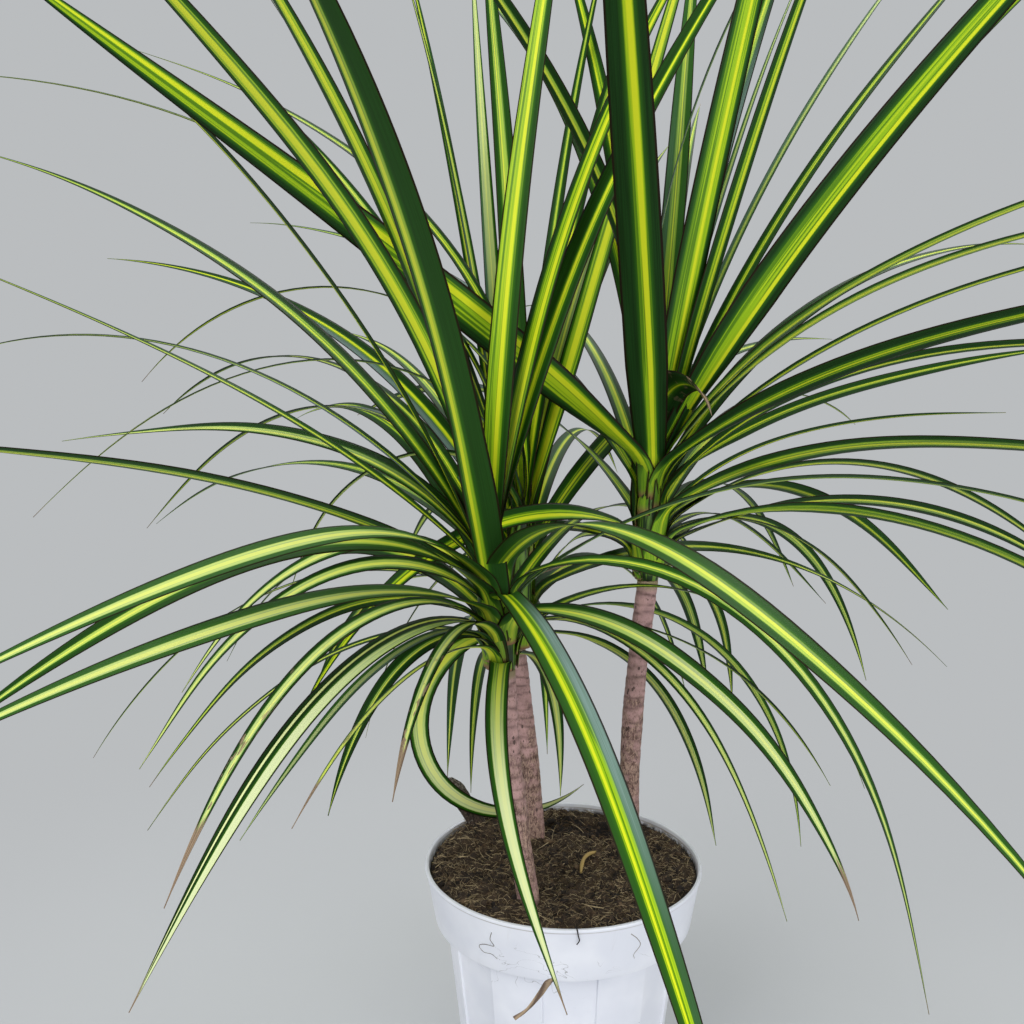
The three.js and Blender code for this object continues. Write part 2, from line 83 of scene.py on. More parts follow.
# Collar's inner face in metres: the height that it starts at, its slope, its radius
INNER_WALL = (0.114, 0.1818, 0.0776)
BEAD_PROFILE = ((84.15, -0.25), (84.05, 0), (84.75, 0.35), (85.0, 0.8))
LIP_PROFILE = ((85.0, -0.7), (84.75, -0.2), (84.3, 0), (83.4, 0), (82.9, -0.25), (82.6, -0.9))
SOIL_DROP = 3.0
GAP = 0.3
SOIL_RINGS = 66
SOIL_SECTORS = 200
SOIL_EDGE = 4.5
# Height and fineness of the peat's lumps and of its grains
LUMPS = (1.5, 0.16)
GRAINS = (0.9, 0.55)

# Canes: base at the soil line, top of the bark, heart of the leafy head
STEMS = {
    "front_left": {
        "base": (-22, -46, 143), "top": (-36, -46, 279), "heart": (-43, -46, 349), "radius": 6.2,
        "bow": -2
    },
    "back_left": {
        "base": (-16, 37, 143), "top": (-29, 37, 269), "heart": (-25, 37, 351), "radius": 6.0, "bow": 1
    },
    "right": {
        "base": (44, 32, 143), "top": (54, 32, 314), "heart": (55, 32, 383), "radius": 6.3, "bow": -3
    },
}
STUMP = {"base": (-55, 48, 148), "top": (-73, 48, 177), "radius": 6.5}
STEM_DEPTH = 88.0
CANE_SEEDS = {"front_left": 3.0, "back_left": 17.0, "right": 31.0}
CANE_SIDES = 28
CANE_SEGMENTS = 190
# Ring scars: half width by their spacing, depth, and rise between two of them
SCAR_WIDTH = 0.10
SCAR_DEPTH = 0.32
SCAR_RISE = 0.14
# Knob on the left of the right cane: how far it stands out, its place and its
# half height by the cane's height, and its half width in radians
KNOB = (0.9, 0.16, 0.05, 0.9)
STUMP_SIDES = 22
STUMP_SEGMENTS = 40
STUMP_DEPTH = 1.2

# Clearance rule, in millimetres and degrees: gaps to blades of other heads and
# of the same head, lengths from the root that are free of the rule, gaps to
# canes, crowns and rim, lowest height, heights over the pot, and bends tried
CLEARANCE = 7.0
OWN_CLEARANCE = 2.5
OWN_FREE_LENGTH = 90.0
STEM_FREE_LENGTH = 60.0
ROD_CLEARANCE = 5.5
CROWN_CLEARANCE = 19.0
RIM_CLEARANCE = 6.0
LOWEST_LEAF = 12.0
REST = 5.0
CURLED_REST = 1.5
CURLED_DROOP = 180
BEND_TRIES = 7
TURN_STEP = 2.0
LIFT_STEP = 1.5

# Sheath of a blade: how far down it starts, its width by the blade's and the
# limits of it, how soon it ends, how strongly its arch pulls, how loosely it
# sits, how far it counts as along the blade, and how far the sheath and the
# open blade fold round, in radians
SHEATH_LENGTH = 14.0
SHEATH_SHARE = 1.15
SHEATH_WIDTHS = (12.0, 21.0)
SHEATH_FADE = 17.0
ARCH_PULL = 0.42
LOW_ARCH_PULL = 0.30
SHEATH_PLAY = 0.5
SHEATH_REACH = 0.05
CLASP_LIMIT = 2.6
OPEN_FOLD = 0.42
TIP_FOLD = 0.5
FOLD_FADE = 24.0

# Blade: share of its width at its foot and how soon it widens, here and in the
# solids, waves and roll, thickness, thinning of edges and of narrow places, keel
FOOT_SHARE = 0.72
WIDENING = 1.6
COARSE_FOOT_SHARE = 0.42
COARSE_WIDENING = 2.4
TIP_WIDTH = 1.6
LEAST_WIDTH = 0.5
WAVE = 0.012
ROLL_DEG = 5.0
THICKNESS = 0.5
FOOT_THICKNESS = 0.35
THICKNESS_FADE = 40.0
EDGE_THINNING = 0.7
NARROW_THINNING = 0.55
NARROW_WIDTH = 6
KEEL = 0.35
KEEL_WIDTH = 0.16

# Rows and faces of a blade, columns and margins of its map, and the crown's core
PATH_STEPS = 240
ROW_CROWDING = 0.95
ARCH_LENGTH = 26.0
ARCH_ROWS = 11
BLADE_ROWS = 36
ACROSS_FACES = 8
STRIP_COLUMNS = 3
END_MARGIN = 0.02
SIDE_MARGIN = 0.06
FEWEST_LEAVES = 90
HEAD_SEEDS = {"front_left": 101, "back_left": 202, "right": 303}
CORE_SIDES = 20
CORE_SEGMENTS = 14
CORE_TOP = 1.15
CORE_INSET = 1.1
# Heights along the crown's axis and radii
CROWN_PROFILE = ((0, 7.4), (0.06, 8.6), (0.35, 9.6), (0.7, 8.8), (0.95, 6.2), (1.15, 2.6))

# Height on the crown 0..1, heading, rise, droop (degrees), length, width,
# share of late droop, sway, twist (degrees)
FRONT_LEFT_LEAVES = (
    (0.65, 287, 3, 48, 370, 17, 0, 0, 0),
    (0.1, 266, -10, 50, 210, 12, 0.6, 50, 0),
    (0.75, 287, 33, 80, 420, 21, 0.5, 27, 0),
    (0.4, 255, 65, 60, 470, 22, 0.8, 0, 20),
    (0.6, 338, 40, 118, 370, 14, 0, 5, -20),
    (0.25, 232, 33, 85, 285, 19, 0, 0, 0),
    (0.4, 313, 22, 95, 265, 21, 0.5, 20, -8),
    (0.6, 250, 35, 48, 375, 16, 0.2, -10, 20),
    (0.4, 245, 26, 32, 370, 18, 0.1, 0, 15),
    (0.5, 245, 38, 64, 345, 18, 0.4, -5, 30),
    (0.6, 225, 35, 30, 390, 15, 0.1, 0, -15),
    (0.75, 165, 62, 70, 290, 17, 0, 10, 20),
    (0.8, 210, 83, 44, 460, 19, 0, 0, -20),
    (0.7, 195, 81, 33, 470, 19, 0.5, 0, -20),
    (0.6, 175, 70, 35, 430, 15, 0.5, 0, -20),
    (0.7, 180, 48, 26, 355, 12, 0, 0, 8),
    (0.85, 170, 52, 80, 410, 10, 0.6, 0, 5),
    (0.7, 140, 72, 110, 345, 14, 0.5, 15, 0),
    (0.6, 140, 84, 130, 375, 14, 0.15, 20, 0),
    (0.5, 193, 68, 125, 215, 16, 0.1, 0, 20),
    (0.3, 195, 68, 125, 250, 16, 0, 0, 20),
    (0.25, 190, 46, 100, 235, 12, 0, 0, 20),
    (0.2, 200, 25, 80, 225, 10, 0.2, 0, 0),
    (0.15, 230, 40, 85, 200, 9, 0, -5, 0),
    (0.1, 241, 25, 60, 195, 8, 0.3, 5, -20),
    (0.05, 250, 60, 125, 175, 12, 0.3, 0, -10),
    (0.02, 225, 60, 130, 165, 12, 0.1, 0, 20),
    (0.1, 230, 60, 120, 270, 12, 0.1, 3, 10),
    (0, 105, 15, 95, 200, 10, 0.2, 0, 20),
    (0, 66, 12, 105, 165, 12, 0.2, 0, 0),
    (0.3, 10, 15, 75, 245, 11, 0.3, 0, 10),
    (0.9, 52, 88, 15, 455, 17, 0.2, 0, -15),
    (0.9, 26, 82, 34, 450, 18, 0.6, 0, -10),
)
RIGHT_LEAVES = (
    (0.95, 258, 55, 15, 480, 25, 0.2, 0, 0),
    (1, 204, 40, 8, 440, 24, 0, 5, -60),
    (0.3, 280, 100, 165, 160, 24, 1, 20, 40),
    (0.95, 325, 80, 5, 490, 20, 0.3, 0, 40),
    (1, 330, 62, 20, 485, 22, 0.2, 0, 60),
    (0.85, 345, 65, 30, 490, 20, 0.5, 0, 40),
    (0.95, 310, 36, 34, 440, 16, 0.1, 0, 30),
    (0.35, 197, 34, 98, 270, 15, 0.25, 0, 40),
    (0.75, 350, 45, 36, 265, 14, 0, 0, 40),
    (0.6, 335, 58, 66, 400, 12, 0, 0, 25),
    (0.5, 305, 35, 45, 405, 14, 0.1, 0, 30),
    (0.4, 345, 60, 58, 225, 10, 0, 0, 20),
    (0.2, 20, 25, 62, 430, 15, 0.3, 0, 35),
    (0.3, 340, 31, 80, 440, 15, 0.1, 0, 35),
    (0.4, 25, 40, 83, 300, 17, 0, -5, 25),
    (0.3, 20, 32, 85, 250, 10, 0, -5, 0),
    (0.3, 50, 55, 105, 255, 13, 0, 0, -10),
    (0.25, 50, 33, 75, 240, 10, 0, -25, 0),
    (0.9, 340, 63, 50, 410, 11, 0, 0, 20),
    (0.85, 355, 62, 59, 430, 12, 0.1, 0, 25),
    (0.8, 345, 53, 50, 455, 10, 0.1, 0, 20),
    (0.95, 73, 65, -5, 460, 22, 0.2, 0, 30),
    (0.9, 22, 75, 30, 485, 11, 0.3, 0, 0),
    (0.95, 52, 70, 20, 480, 9, 0.3, 0, 30),
    (0.8, 195, 96, 58, 480, 16, 0.2, 0, -20),
    (0.9, 120, 84, 55, 490, 14, 0.4, 0, 10),
    (0.9, -12, 97, 58, 450, 12, 0.6, 0, -5),
    (0.6, 340, 80, 10, 480, 14, 0.3, 0, 30),
    (0.05, 60, -5, 60, 170, 12, 0.1, 0, 0),
    (0.05, 46, 10, 95, 170, 12, 0.2, 0, 0),
    (0, 190, 40, 60, 85, 5, 0, 0, 0),
)
BACK_LEFT_LEAVES = (
    (0.9, 20, 73, 0, 460, 16, 0.4, 0, -30),
    (0.8, 45, 80, 30, 450, 14, 0.4, 0, -20),
    (0.3, 110, 75, -5, 445, 13, 0.1, 0, 0),
    (0.3, 130, 80, 10, 460, 10, 0.5, 5, 10),
    (0.3, 138, 80, 15, 455, 8, 0.6, 5, 0),
    (0.8, 62, 80, 20, 460, 10, 0.5, 0, 0),
    (1, 155, 98, 80, 445, 12, 0.1, 10, 20),
    (0.8, 180, 90, 90, 505, 11, 0.3, 0, 15),
    (1, 165, 106, 150, 375, 11, 0.3, 0, 0),
    (0.8, 195, 97, 145, 380, 12, 0.1, 0, 0),
    (0.7, 195, 108, 185, 235, 13, 0.2, 0, -20),
    (0.05, 12, 13, 90, 235, 14, 0, 5, 30),
    (0.12, 325, 30, 100, 265, 12, 0, 0, 0),
)
CURLED_ROW = 13
CURLED_LEAF = (0.05, 200, 20, 217, 262, 13, 0.2, 20, 60)
MORE = {
    "front_left": {"count": 10, "first": 40, "seed": 11},
    "right": {"count": 15, "first": 95, "seed": 23},
    "back_left": {"count": 20, "first": 75, "seed": 37},
}
FIRST_MORE_ROW = 100
BACK_SPAN = 180
GOLDEN_ANGLE = 137.5

# Light band of a blade, in half widths of the blade: softness of its edges,
# where the mid green beside it ends, softness of the yellow line, and where the
# red edge line starts and is full
BAND_SOFTNESS = 0.05
FRINGE = (0.26, 0.02)
LINE_SOFTNESS = 0.035
EDGE_LINE = (0.865, 0.93)

# Leaves whose marking is told apart in the photo, by head and row above: the
# light band's middle and half width, cream in it, the yellow line's middle and
# half width, painted sheen (its sign gives the side), dry tip, paler margins.
# Places run from -1 to 1 across the blade; the other values are shares.
MARKED = {
    "front_left": {
        0: (-0.08, 0.34, 0, -0.2, 0.09, 0.75, 0, 0.6),
        1: (0.05, 0.55, 0.8, 0.1, 0.2, 0, 0.07, 0.4),
        2: (0.05, 0.3, 0.15, 0.05, 0.12, 0, 0, 0.5),
        3: (-0.45, 0.26, 0.1, -0.5, 0.11, 0, 0, 0.35),
        4: (0.1, 0.3, 0.3, 0.1, 0.08, 0, 0.03, 0.3),
        5: (0.42, 0.36, 0.85, -0.5, 0.08, 0, 0.05, 0),
        6: (0, 0.42, 0.5, 0.05, 0.12, 0, 0.1, 0.25),
        7: (0, 0.42, 0.35, 0, 0.18, 0, 0, 0.7),
        8: (0.05, 0.42, 0.4, 0.05, 0.18, 0, 0, 0.7),
        9: (0, 0.3, 0.2, 0, 0.1, 0, 0, 0.2),
        10: (0.05, 0.36, 0.1, 0, 0.12, 0, 0, 0.15),
        11: (0.22, 0.36, 0.3, 0.32, 0.1, 0, 0, 0.1),
        12: (0, 0.58, 0.05, 0, 0.26, 0, 0, 0.15),
        13: (0.1, 0.46, 0.05, 0.1, 0.18, 0, 0, 0.2),
        19: (0, 0.5, 0.35, 0, 0.2, 0, 0, 0.1),
        20: (0, 0.5, 0.35, 0.05, 0.18, 0, 0, 0.1),
        23: (0, 0.4, 0.5, 0, 0.04, 0.5, 0, 0.9),
        24: (0, 0.62, 0.2, 0, 0.35, 0, 0.14, 0.3),
        25: (0, 0.45, 0.4, 0.1, 0.18, 0, 0.15, 0),
        27: (0.05, 0.44, 0.4, 0.1, 0.16, 0, 0.15, 0),
        29: (0, 0.45, 0.35, 0, 0.15, 0, 0, 0.05),
        30: (0, 0.3, 0.1, 0, 0.1, 0, 0, 0),
        31: (0.3, 0.6, 0.05, 0.05, 0.15, 0, 0, 0.35),
        32: (-0.1, 0.6, 0, -0.2, 0.2, 0, 0, 0.1),
    },
    "right": {
        0: (0.13, 0.24, 0, 0.18, 0.12, 0, 0, 0),
        1: (0.12, 0.55, 0, 0.4, 0.14, 0, 0, 0),
        2: (0.1, 0.16, 0, 0.1, 0.05, 0, 0.13, 0.05),
        3: (0, 0.56, 0, 0.15, 0.09, 0, 0, 0.1),
        4: (-0.02, 0.42, 0, 0.3, 0.1, 0, 0, 0),
        5: (0.25, 0.5, 0, 0, 0.22, 0, 0, 0.05),
        6: (0, 0.26, 0, 0, 0.06, 0, 0, 0.05),
        7: (0.2, 0.45, 0, 0.3, 0.16, 0, 0, 0.15),
        18: (0, 0.6, 0.1, 0.1, 0.2, 0, 0, 0.3),
        19: (0, 0.6, 0.1, -0.1, 0.2, 0, 0, 0.3),
        21: (0, 0.36, 0.15, 0, 0.05, 0.2, 0, 0.9),
        22: (0, 0.4, 0.3, 0, 0.03, 0.3, 0, 0.9),
        23: (0, 0.4, 0.3, 0, 0.03, -0.3, 0, 0.9),
        26: (0, 0.4, 0.2, 0, 0.05, -0.6, 0, 0.8),
        30: (0, 0.2, 0, 0, 0.02, 0, 0.97, 0.5),
    },
    "back_left": {
        0: (0, 0.7, 0.05, 0, 0.3, 0, 0, 0.4),
        1: (0.1, 0.7, 0.4, 0.1, 0.1, -0.8, 0, 0.6),
        2: (0, 0.6, 0.5, 0, 0.1, 0.4, 0, 0.7),
        10: (0, 0.45, 0.35, 0, 0.15, 0, 0, 0.05),
        11: (0, 0.45, 0.35, 0.05, 0.15, 0, 0, 0.05),
        12: (0, 0.45, 0.35, -0.05, 0.15, 0, 0, 0.05),
        13: (0, 0.62, 0.6, 0.1, 0.25, 0, 0.02, 0),
    },
}

# Routes of a dark rootlet that hangs over the lip and of a bent yellow twig,
# and, as heading in degrees and height, of two threads stuck to the collar
LIP_ROOTLET = (
    (3, -79, 142), (3.4, -82.2, 145.3), (3.8, -84.9, 145.1), (4.4, -85.4, 142), (5, -84.9, 139),
    (3.6, -84.6, 136.5)
)
TWIG = ((10.5, -13, 142), (11.5, -7, 144.2), (13.5, 0, 145), (17, 5, 145.4), (21, 8, 144.8))
LEFT_THREAD = (
    (-121, 136), (-122, 131), (-120.5, 127.5), (-125, 126.5), (-128, 124), (-126, 121),
    (-122, 121.5), (-119.5, 119.5)
)
RIGHT_THREAD = ((-66, 138), (-63, 134), (-61, 129), (-63.5, 124), (-63, 121))
# Dry strip torn off the hanging front leaf near its tip
DRY_STRIP = (
    (-13.5, -202.7, 189.8), (-16.3, -201.6, 187), (-19.7, -200.6, 181), (-25, -201, 174.5),
    (-30.5, -202, 171)
)
DRY_STRIP_HALF_WIDTHS = (0.5, 1.7, 1.4, 0.7, 1.1)

# Litter: lengths and radii of short fibres; number, lengths, radii and tones of
# long ones; size that every crumb has, mean of what is added, and largest size
FIBRE_LENGTHS = (2.0, 7.5)
FIBRE_RADII = (0.10, 0.24)
LONG_FIBRES = 46
LONG_FIBRE_LENGTHS = (9, 19)
LONG_FIBRE_RADII = (0.16, 0.30)
LONG_FIBRE_TONES = (0.75, 1.0)
LEAST_CRUMB = 0.45
MORE_CRUMB = 0.55
LARGEST_CRUMB = 2.6

# Hollow in the peat where shade is painted dark: centre x and y, half width and half depth
SHADED_HOLLOW = (18, 52, 30, 13)

# Power of the blades' taper, and the leaves that end bluntly
TAPER = 2.6
BLUNT = {("right", 2): 7.0, ("back_left", CURLED_ROW): 8.0}

# Floor, in metres: where it fades into the air, its radius, and its drop
FADE = (0.12, 0.75)
FLOOR_RADIUS = 9.0
FLOOR_DROP = 0.0002
FLOOR_SHADE = 0.985

# Lights: name, place in metres, size in metres and power in watts
LIGHTS = (
    ("key", (-1.3, -1.5, 1.9), 1.5, 35.0),
    ("fill", (1.1, -1.9, 0.5), 1.6, 26.0),
    ("top", (0.4, 1.3, 2.2), 1.6, 22.0),
)
LIGHT_AIM = (0, 0, 0.35)
CAMERA_PLACE = (-0.0314, -0.616, 0.4446)
CAMERA_DOWN_DEG = 7.7
SENSOR_MM = 36.0


def vec(values):
    return np.array(values, float)


def mix(a, b, t):
    return vec(a) + (vec(b) - vec(a)) * t


# ---------------------------------------------------------------- leaf rule


def make_random(seed):
    """The same small random rule as the solids', so both place the same leaves."""
    state = seed * 7919 + 17

    def draw():
        nonlocal state
        state = (state * 16807) % 2147483647
        return state / 2147483647

    return draw


def blade_steps(leaf):
    """Number of straight steps that the solids give a leaf."""
    return max(4, math.floor(2 + leaf[3] / 40 + leaf[4] / 160 + 0.5))


def blade_root(stem, leaf):
    """Point of the crown that a leaf leaves from."""
    root = mix(stem["top"], stem["heart"], leaf[0])
    root[2] += 3 * (1 - leaf[0])
    return root


def blade_angles(leaf, t):
    """Pitch and yaw in radians at shares t of the blade's length."""
    _, heading, rise, droop, _, _, late, sway, _ = leaf
    pitch = np.radians(rise - droop * ((1 - late) * t * (2 - t) + late * t * t))
    return pitch, np.radians(heading + sway * t * t)


def along_direction(pitch, yaw):
    return np.stack([np.cos(pitch) * np.cos(yaw), np.cos(pitch) * np.sin(yaw), np.sin(pitch)], -1)


def blade_path(stem, leaf, steps):
    """Points of a blade's centre line, steps + 1 of them, integrated at midpoints."""
    t = (np.arange(steps) + 0.5) / steps
    moves = along_direction(*blade_angles(leaf, t)) * leaf[4] / steps
    return np.vstack([blade_root(stem, leaf), blade_root(stem, leaf) + np.cumsum(moves, 0)])


def across_directions(leaf, t, pitch, yaw):
    """Side and normal directions with the blade's twist."""
    roll = np.radians(leaf[8] * np.minimum(1, 4 * np.clip(t, 0, 1)))[:, None]
    level = np.stack([-np.sin(yaw), np.cos(yaw), 0 * yaw], -1)
    upward = np.stack([-np.sin(pitch) * np.cos(yaw), -np.sin(pitch) * np.sin(yaw), np.cos(pitch)], -1)
    return level * np.cos(roll) - upward * np.sin(roll), level * np.sin(roll) + upward * np.cos(roll)


def coarse_width(t, width):
    """Width of the solids' blade at share t of its length."""
    foot = np.minimum(1, COARSE_FOOT_SHARE + COARSE_WIDENING * t)
    return np.maximum(TIP_WIDTH, width * foot * (1 - t**TAPER))


def blade_lines(stem, leaf):
    """Three lines along a blade as segment starts, ends and distances along, for the clearance rule."""
    steps = blade_steps(leaf)
    t = np.arange(steps + 1) / steps
    points = blade_path(stem, leaf, steps * 4)[::4]
    side, _ = across_directions(leaf, t, *blade_angles(leaf, t))
    width = coarse_width(t, leaf[5])[:, None]
    rows = [points + side * width * share for share in (-0.5, 0, 0.5)]
    starts = np.vstack([row[:-1] for row in rows])
    ends = np.vstack([row[1:] for row in rows])
    return starts, ends, np.tile(leaf[4] * t[:-1], 3)


def segment_distances(a, b, c, d):
    """Closest distance between every segment a-b and every segment c-d."""
    d1 = (b - a)[:, None]
    d2 = (d - c)[None]
    r = a[:, None] - c[None]
    aa = (d1 * d1).sum(-1)
    ee = (d2 * d2).sum(-1)
    f = (d2 * r).sum(-1)
    cc = (d1 * r).sum(-1)
    bb = (d1 * d2).sum(-1)
    below = aa * ee - bb * bb
    s = np.where(below > 1e-9, np.clip((bb * f - cc * ee) / np.where(below > 1e-9, below, 1), 0, 1), 0)
    t = np.clip((bb * s + f) / ee, 0, 1)
    s = np.clip((bb * t - cc) / aa, 0, 1)
    gap = r + d1 * s[..., None] - d2 * t[..., None]
    return np.sqrt((gap * gap).sum(-1))


def soil_height(x, y):
    """Height of the peat: a mound by the stump, a lump, a dip, a low place and waves."""
    mound = 5 * np.exp(-((x + 54) ** 2 + (y - 44) ** 2) / 500)
    lump = 6 * np.exp(-((x + 40) ** 2 + (y - 56) ** 2) / 90)
    dip = -6 * np.exp(-((x - 34) ** 2 + (y - 52) ** 2) / 420)
    low = -5 * np.exp(-((x + 2) ** 2 + (y + 14) ** 2) / 160)
    rough = 1.3 * np.sin(x * 0.31 + 1.3) * np.sin(y * 0.27 + 0.4)
    rough = rough + 0.9 * np.sin(x * 0.71 - y * 0.43) + 0.6 * np.sin(x * 0.37 + y * 0.93 + 2)
    return POT_HEIGHT - SOIL_DROP + mound + lump + dip + low + rough


def is_clear(lines, name, rest, placed, rods):
    """Whether a blade keeps clear of other heads' blades, stems and crowns, the pot and the soil."""
    starts, ends, along = lines
    points = np.vstack([starts, (starts + ends) / 2, ends])
    x, y, z = points.T
    radius = np.hypot(x, y)
    by_rim = (radius < RIM_RADIUS + RIM_CLEARANCE) & (z < POT_HEIGHT + rest)
    if (z < LOWEST_LEAF).any() or by_rim.any():
        return False
    if ((radius < RIM_RADIUS) & (z < soil_height(x, y) + rest)).any():
        return False
    for rod in rods:
        near = np.ones(len(along), bool)
        if rod["name"] == name:
            if rod["kind"] == "crown":
                continue
            near = along >= STEM_FREE_LENGTH
        if not near.any():
            continue
        gaps = segment_distances(starts[near], ends[near], vec([rod["a"]]), vec([rod["b"]]))
        if (gaps < rod["radius"]).any():
            return False
    low = points.min(0) - CLEARANCE - 1
    high = points.max(0) + CLEARANCE + 1
    for other in placed:
        theirs, to, way = other["lines"]
        own = other["name"] == name
        mine = along >= OWN_FREE_LENGTH if own else np.ones(len(along), bool)
        met = (np.minimum(theirs, to) < high).all(1) & (np.maximum(theirs, to) > low).all(1)
        if own:
            met &= way >= OWN_FREE_LENGTH
        if not met.any() or not mine.any():
            continue
        gaps = segment_distances(starts[mine], ends[mine], theirs[met], to[met])
        if (gaps < (OWN_CLEARANCE if own else CLEARANCE)).any():
            return False
    return True


def bends():
    """Turns and lifts in degrees that a leaf tries in order until it hangs clear."""
    yield 0, 0
    for reach in range(1, BEND_TRIES + 1):
        for turn, lift in ((1, 0), (-1, 0), (0, 1), (0, -1), (1, 1), (-1, 1), (1, -1), (-1, -1)):
            yield turn * reach * TURN_STEP, lift * reach * LIFT_STEP


def more_leaves(rule):
    """Rows for the leaves behind, from young and erect to old and drooping."""
    draw = make_random(rule["seed"])
    leaves = []
    for i in range(rule["count"]):
        age = (i + 0.5) / rule["count"]
        turn = (rule["first"] + i * GOLDEN_ANGLE) % 360
        heading = turn / 360 * BACK_SPAN + (draw() - 0.5) * 10
        rise = 84 - 62 * age + (draw() - 0.5) * 12
        droop = 16 + 96 * age + (draw() - 0.5) * 22
        length = 470 - 190 * age * age + (draw() - 0.5) * 60
        width = 16 + (draw() - 0.5) * 6 - 3 * age
        twist = (draw() - 0.5) * 70
        leaves.append((0.95 - 0.9 * age, heading, rise, droop, length, width, 0.2, 0, twist))
    return leaves


def place_leaves():
    """Every leaf that hangs clear, with its head and its row in that head's list."""
    rods = []
    for name, stem in (*STEMS.items(), ("stump", STUMP)):
        ends = {"a": stem["base"], "b": stem["top"]}
        rods.append({"name": name, "kind": "stem", **ends, "radius": stem["radius"] + ROD_CLEARANCE})
    for name, stem in STEMS.items():
        ends = {"a": stem["top"], "b": stem["heart"]}
        rods.append({"name": name, "kind": "crown", **ends, "radius": CROWN_CLEARANCE})
    placed = []

    def try_leaf(name, leaf, row):
        for turn, lift in bends():
            bent = (leaf[0], leaf[1] + turn, leaf[2] + lift, *leaf[3:])
            lines = blade_lines(STEMS[name], bent)
            rest = CURLED_REST if bent[3] > CURLED_DROOP else REST
            if is_clear(lines, name, rest, placed, rods):
                placed.append({"name": name, "leaf": bent, "lines": lines, "row": row})
                return

    try_leaf("back_left", CURLED_LEAF, CURLED_ROW)
    lists = {"front_left": FRONT_LEFT_LEAVES, "right": RIGHT_LEAVES, "back_left": BACK_LEFT_LEAVES}
    for name, rows in lists.items():
        for row, leaf in enumerate(rows):
            try_leaf(name, leaf, row)
    for name, rule in MORE.items():
        for i, leaf in enumerate(more_leaves(rule)):
            try_leaf(name, leaf, FIRST_MORE_ROW + i)
    return placed


# ---------------------------------------------------------------- materials


class Finish:
    """A material's node tree, with short calls for the nodes that this plant's finishes use."""

    def __init__(self, name, roughness=0.5):
        self.material = bpy.data.materials.new(name)
        self.material.use_nodes = True
        self.tree = self.material.node_tree
        self.shader = self.tree.nodes["Principled BSDF"]
        self.shader.inputs["Roughness"].default_value = roughness

    def node(self, kind, **settings):
        made = self.tree.nodes.new(kind)
        for key, value in settings.items():
            setattr(made, key, value)
        return made

    def put(self, socket, value):
        if isinstance(value, bpy.types.NodeSocket):
            self.tree.links.new(value, socket)
        elif socket.type == "RGBA":
            socket.default_value = (*value, 1)
        else:
            socket.default_value = value

    def math(self, operation, *values):
        made = self.node("ShaderNodeMath", operation=operation)
        for socket, value in zip(made.inputs, values):
            self.put(socket, value)
        return made.outputs[0]

    def times(self, a, b):
        return self.math("MULTIPLY", a, b)

    def plus(self, a, b):
        return self.math("ADD", a, b)

    def times_plus(self, a, b, c):
        return self.math("MULTIPLY_ADD", a, b, c)

    def minus(self, a, b):
        return self.math("SUBTRACT", a, b)

    def absolute(self, a):
        return self.math("ABSOLUTE", a)

    def is_less(self, a, b):
        return self.math("LESS_THAN", a, b)

    def distance(self, x, y):
        return self.math("SQRT", self.plus(self.times(x, x), self.times(y, y)))

    def swayed(self, value, pattern, amount):
        """Value moved up or down by a noise that runs from 0 to 1."""
        return self.times_plus(self.minus(pattern, 0.5), amount, value)

    def ramp(self, value, low, high, to_low=0.0, to_high=1.0):
        """Smooth step from one value at low to the other at high."""
        made = self.node("ShaderNodeMapRange", interpolation_type="SMOOTHSTEP")
        for name, given in (
            ("Value", value), ("From Min", low), ("From Max", high), ("To Min", to_low),
            ("To Max", to_high)
        ):
            self.put(made.inputs[name], given)
        return made.outputs[0]

    def mix(self, share, a, b):
        made = self.node("ShaderNodeMix", data_type="RGBA")
        self.put(made.inputs[0], share)
        self.put(made.inputs[6], a)
        self.put(made.inputs[7], b)
        return made.outputs[2]

    def vector(self, x, y, z):
        made = self.node("ShaderNodeCombineXYZ")
        for socket, value in zip(made.inputs, (x, y, z)):
            self.put(socket, value)
        return made.outputs[0]

    def split(self, vector):
        made = self.node("ShaderNodeSeparateXYZ")
        self.put(made.inputs[0], vector)
        return made.outputs[0], made.outputs[1], made.outputs[2]

    def attribute(self, name):
        return self.node("ShaderNodeAttribute", attribute_name=name).outputs["Vector"]

    def place(self, scale=(1, 1, 1)):
        where = self.node("ShaderNodeTexCoord").outputs["Object"]
        mapping = self.node("ShaderNodeMapping")
        mapping.inputs["Scale"].default_value = scale
        self.put(mapping.inputs["Vector"], where)
        return mapping.outputs[0]

    def noise(self, vector, scale, detail=2.0, rough=0.5, distortion=0.0):
        made = self.node("ShaderNodeTexNoise")
        for name, value in (
            ("Vector", vector), ("Scale", scale), ("Detail", detail), ("Roughness", rough),
            ("Distortion", distortion)
        ):
            self.put(made.inputs[name], value)
        return made.outputs["Fac"]

    def cells(self, vector, scale):
        """Distance to the nearest of many scattered points."""
        made = self.node("ShaderNodeTexVoronoi")
        self.put(made.inputs["Vector"], vector)
        self.put(made.inputs["Scale"], scale)
        return made.outputs["Distance"]

    def colour(self, value):
        self.put(self.shader.inputs["Base Color"], value)

    def bump(self, height, strength, distance):
        made = self.node("ShaderNodeBump")
        self.put(made.inputs["Height"], height)
        made.inputs["Strength"].default_value = strength
        made.inputs["Distance"].default_value = distance
        self.put(self.shader.inputs["Normal"], made.outputs[0])


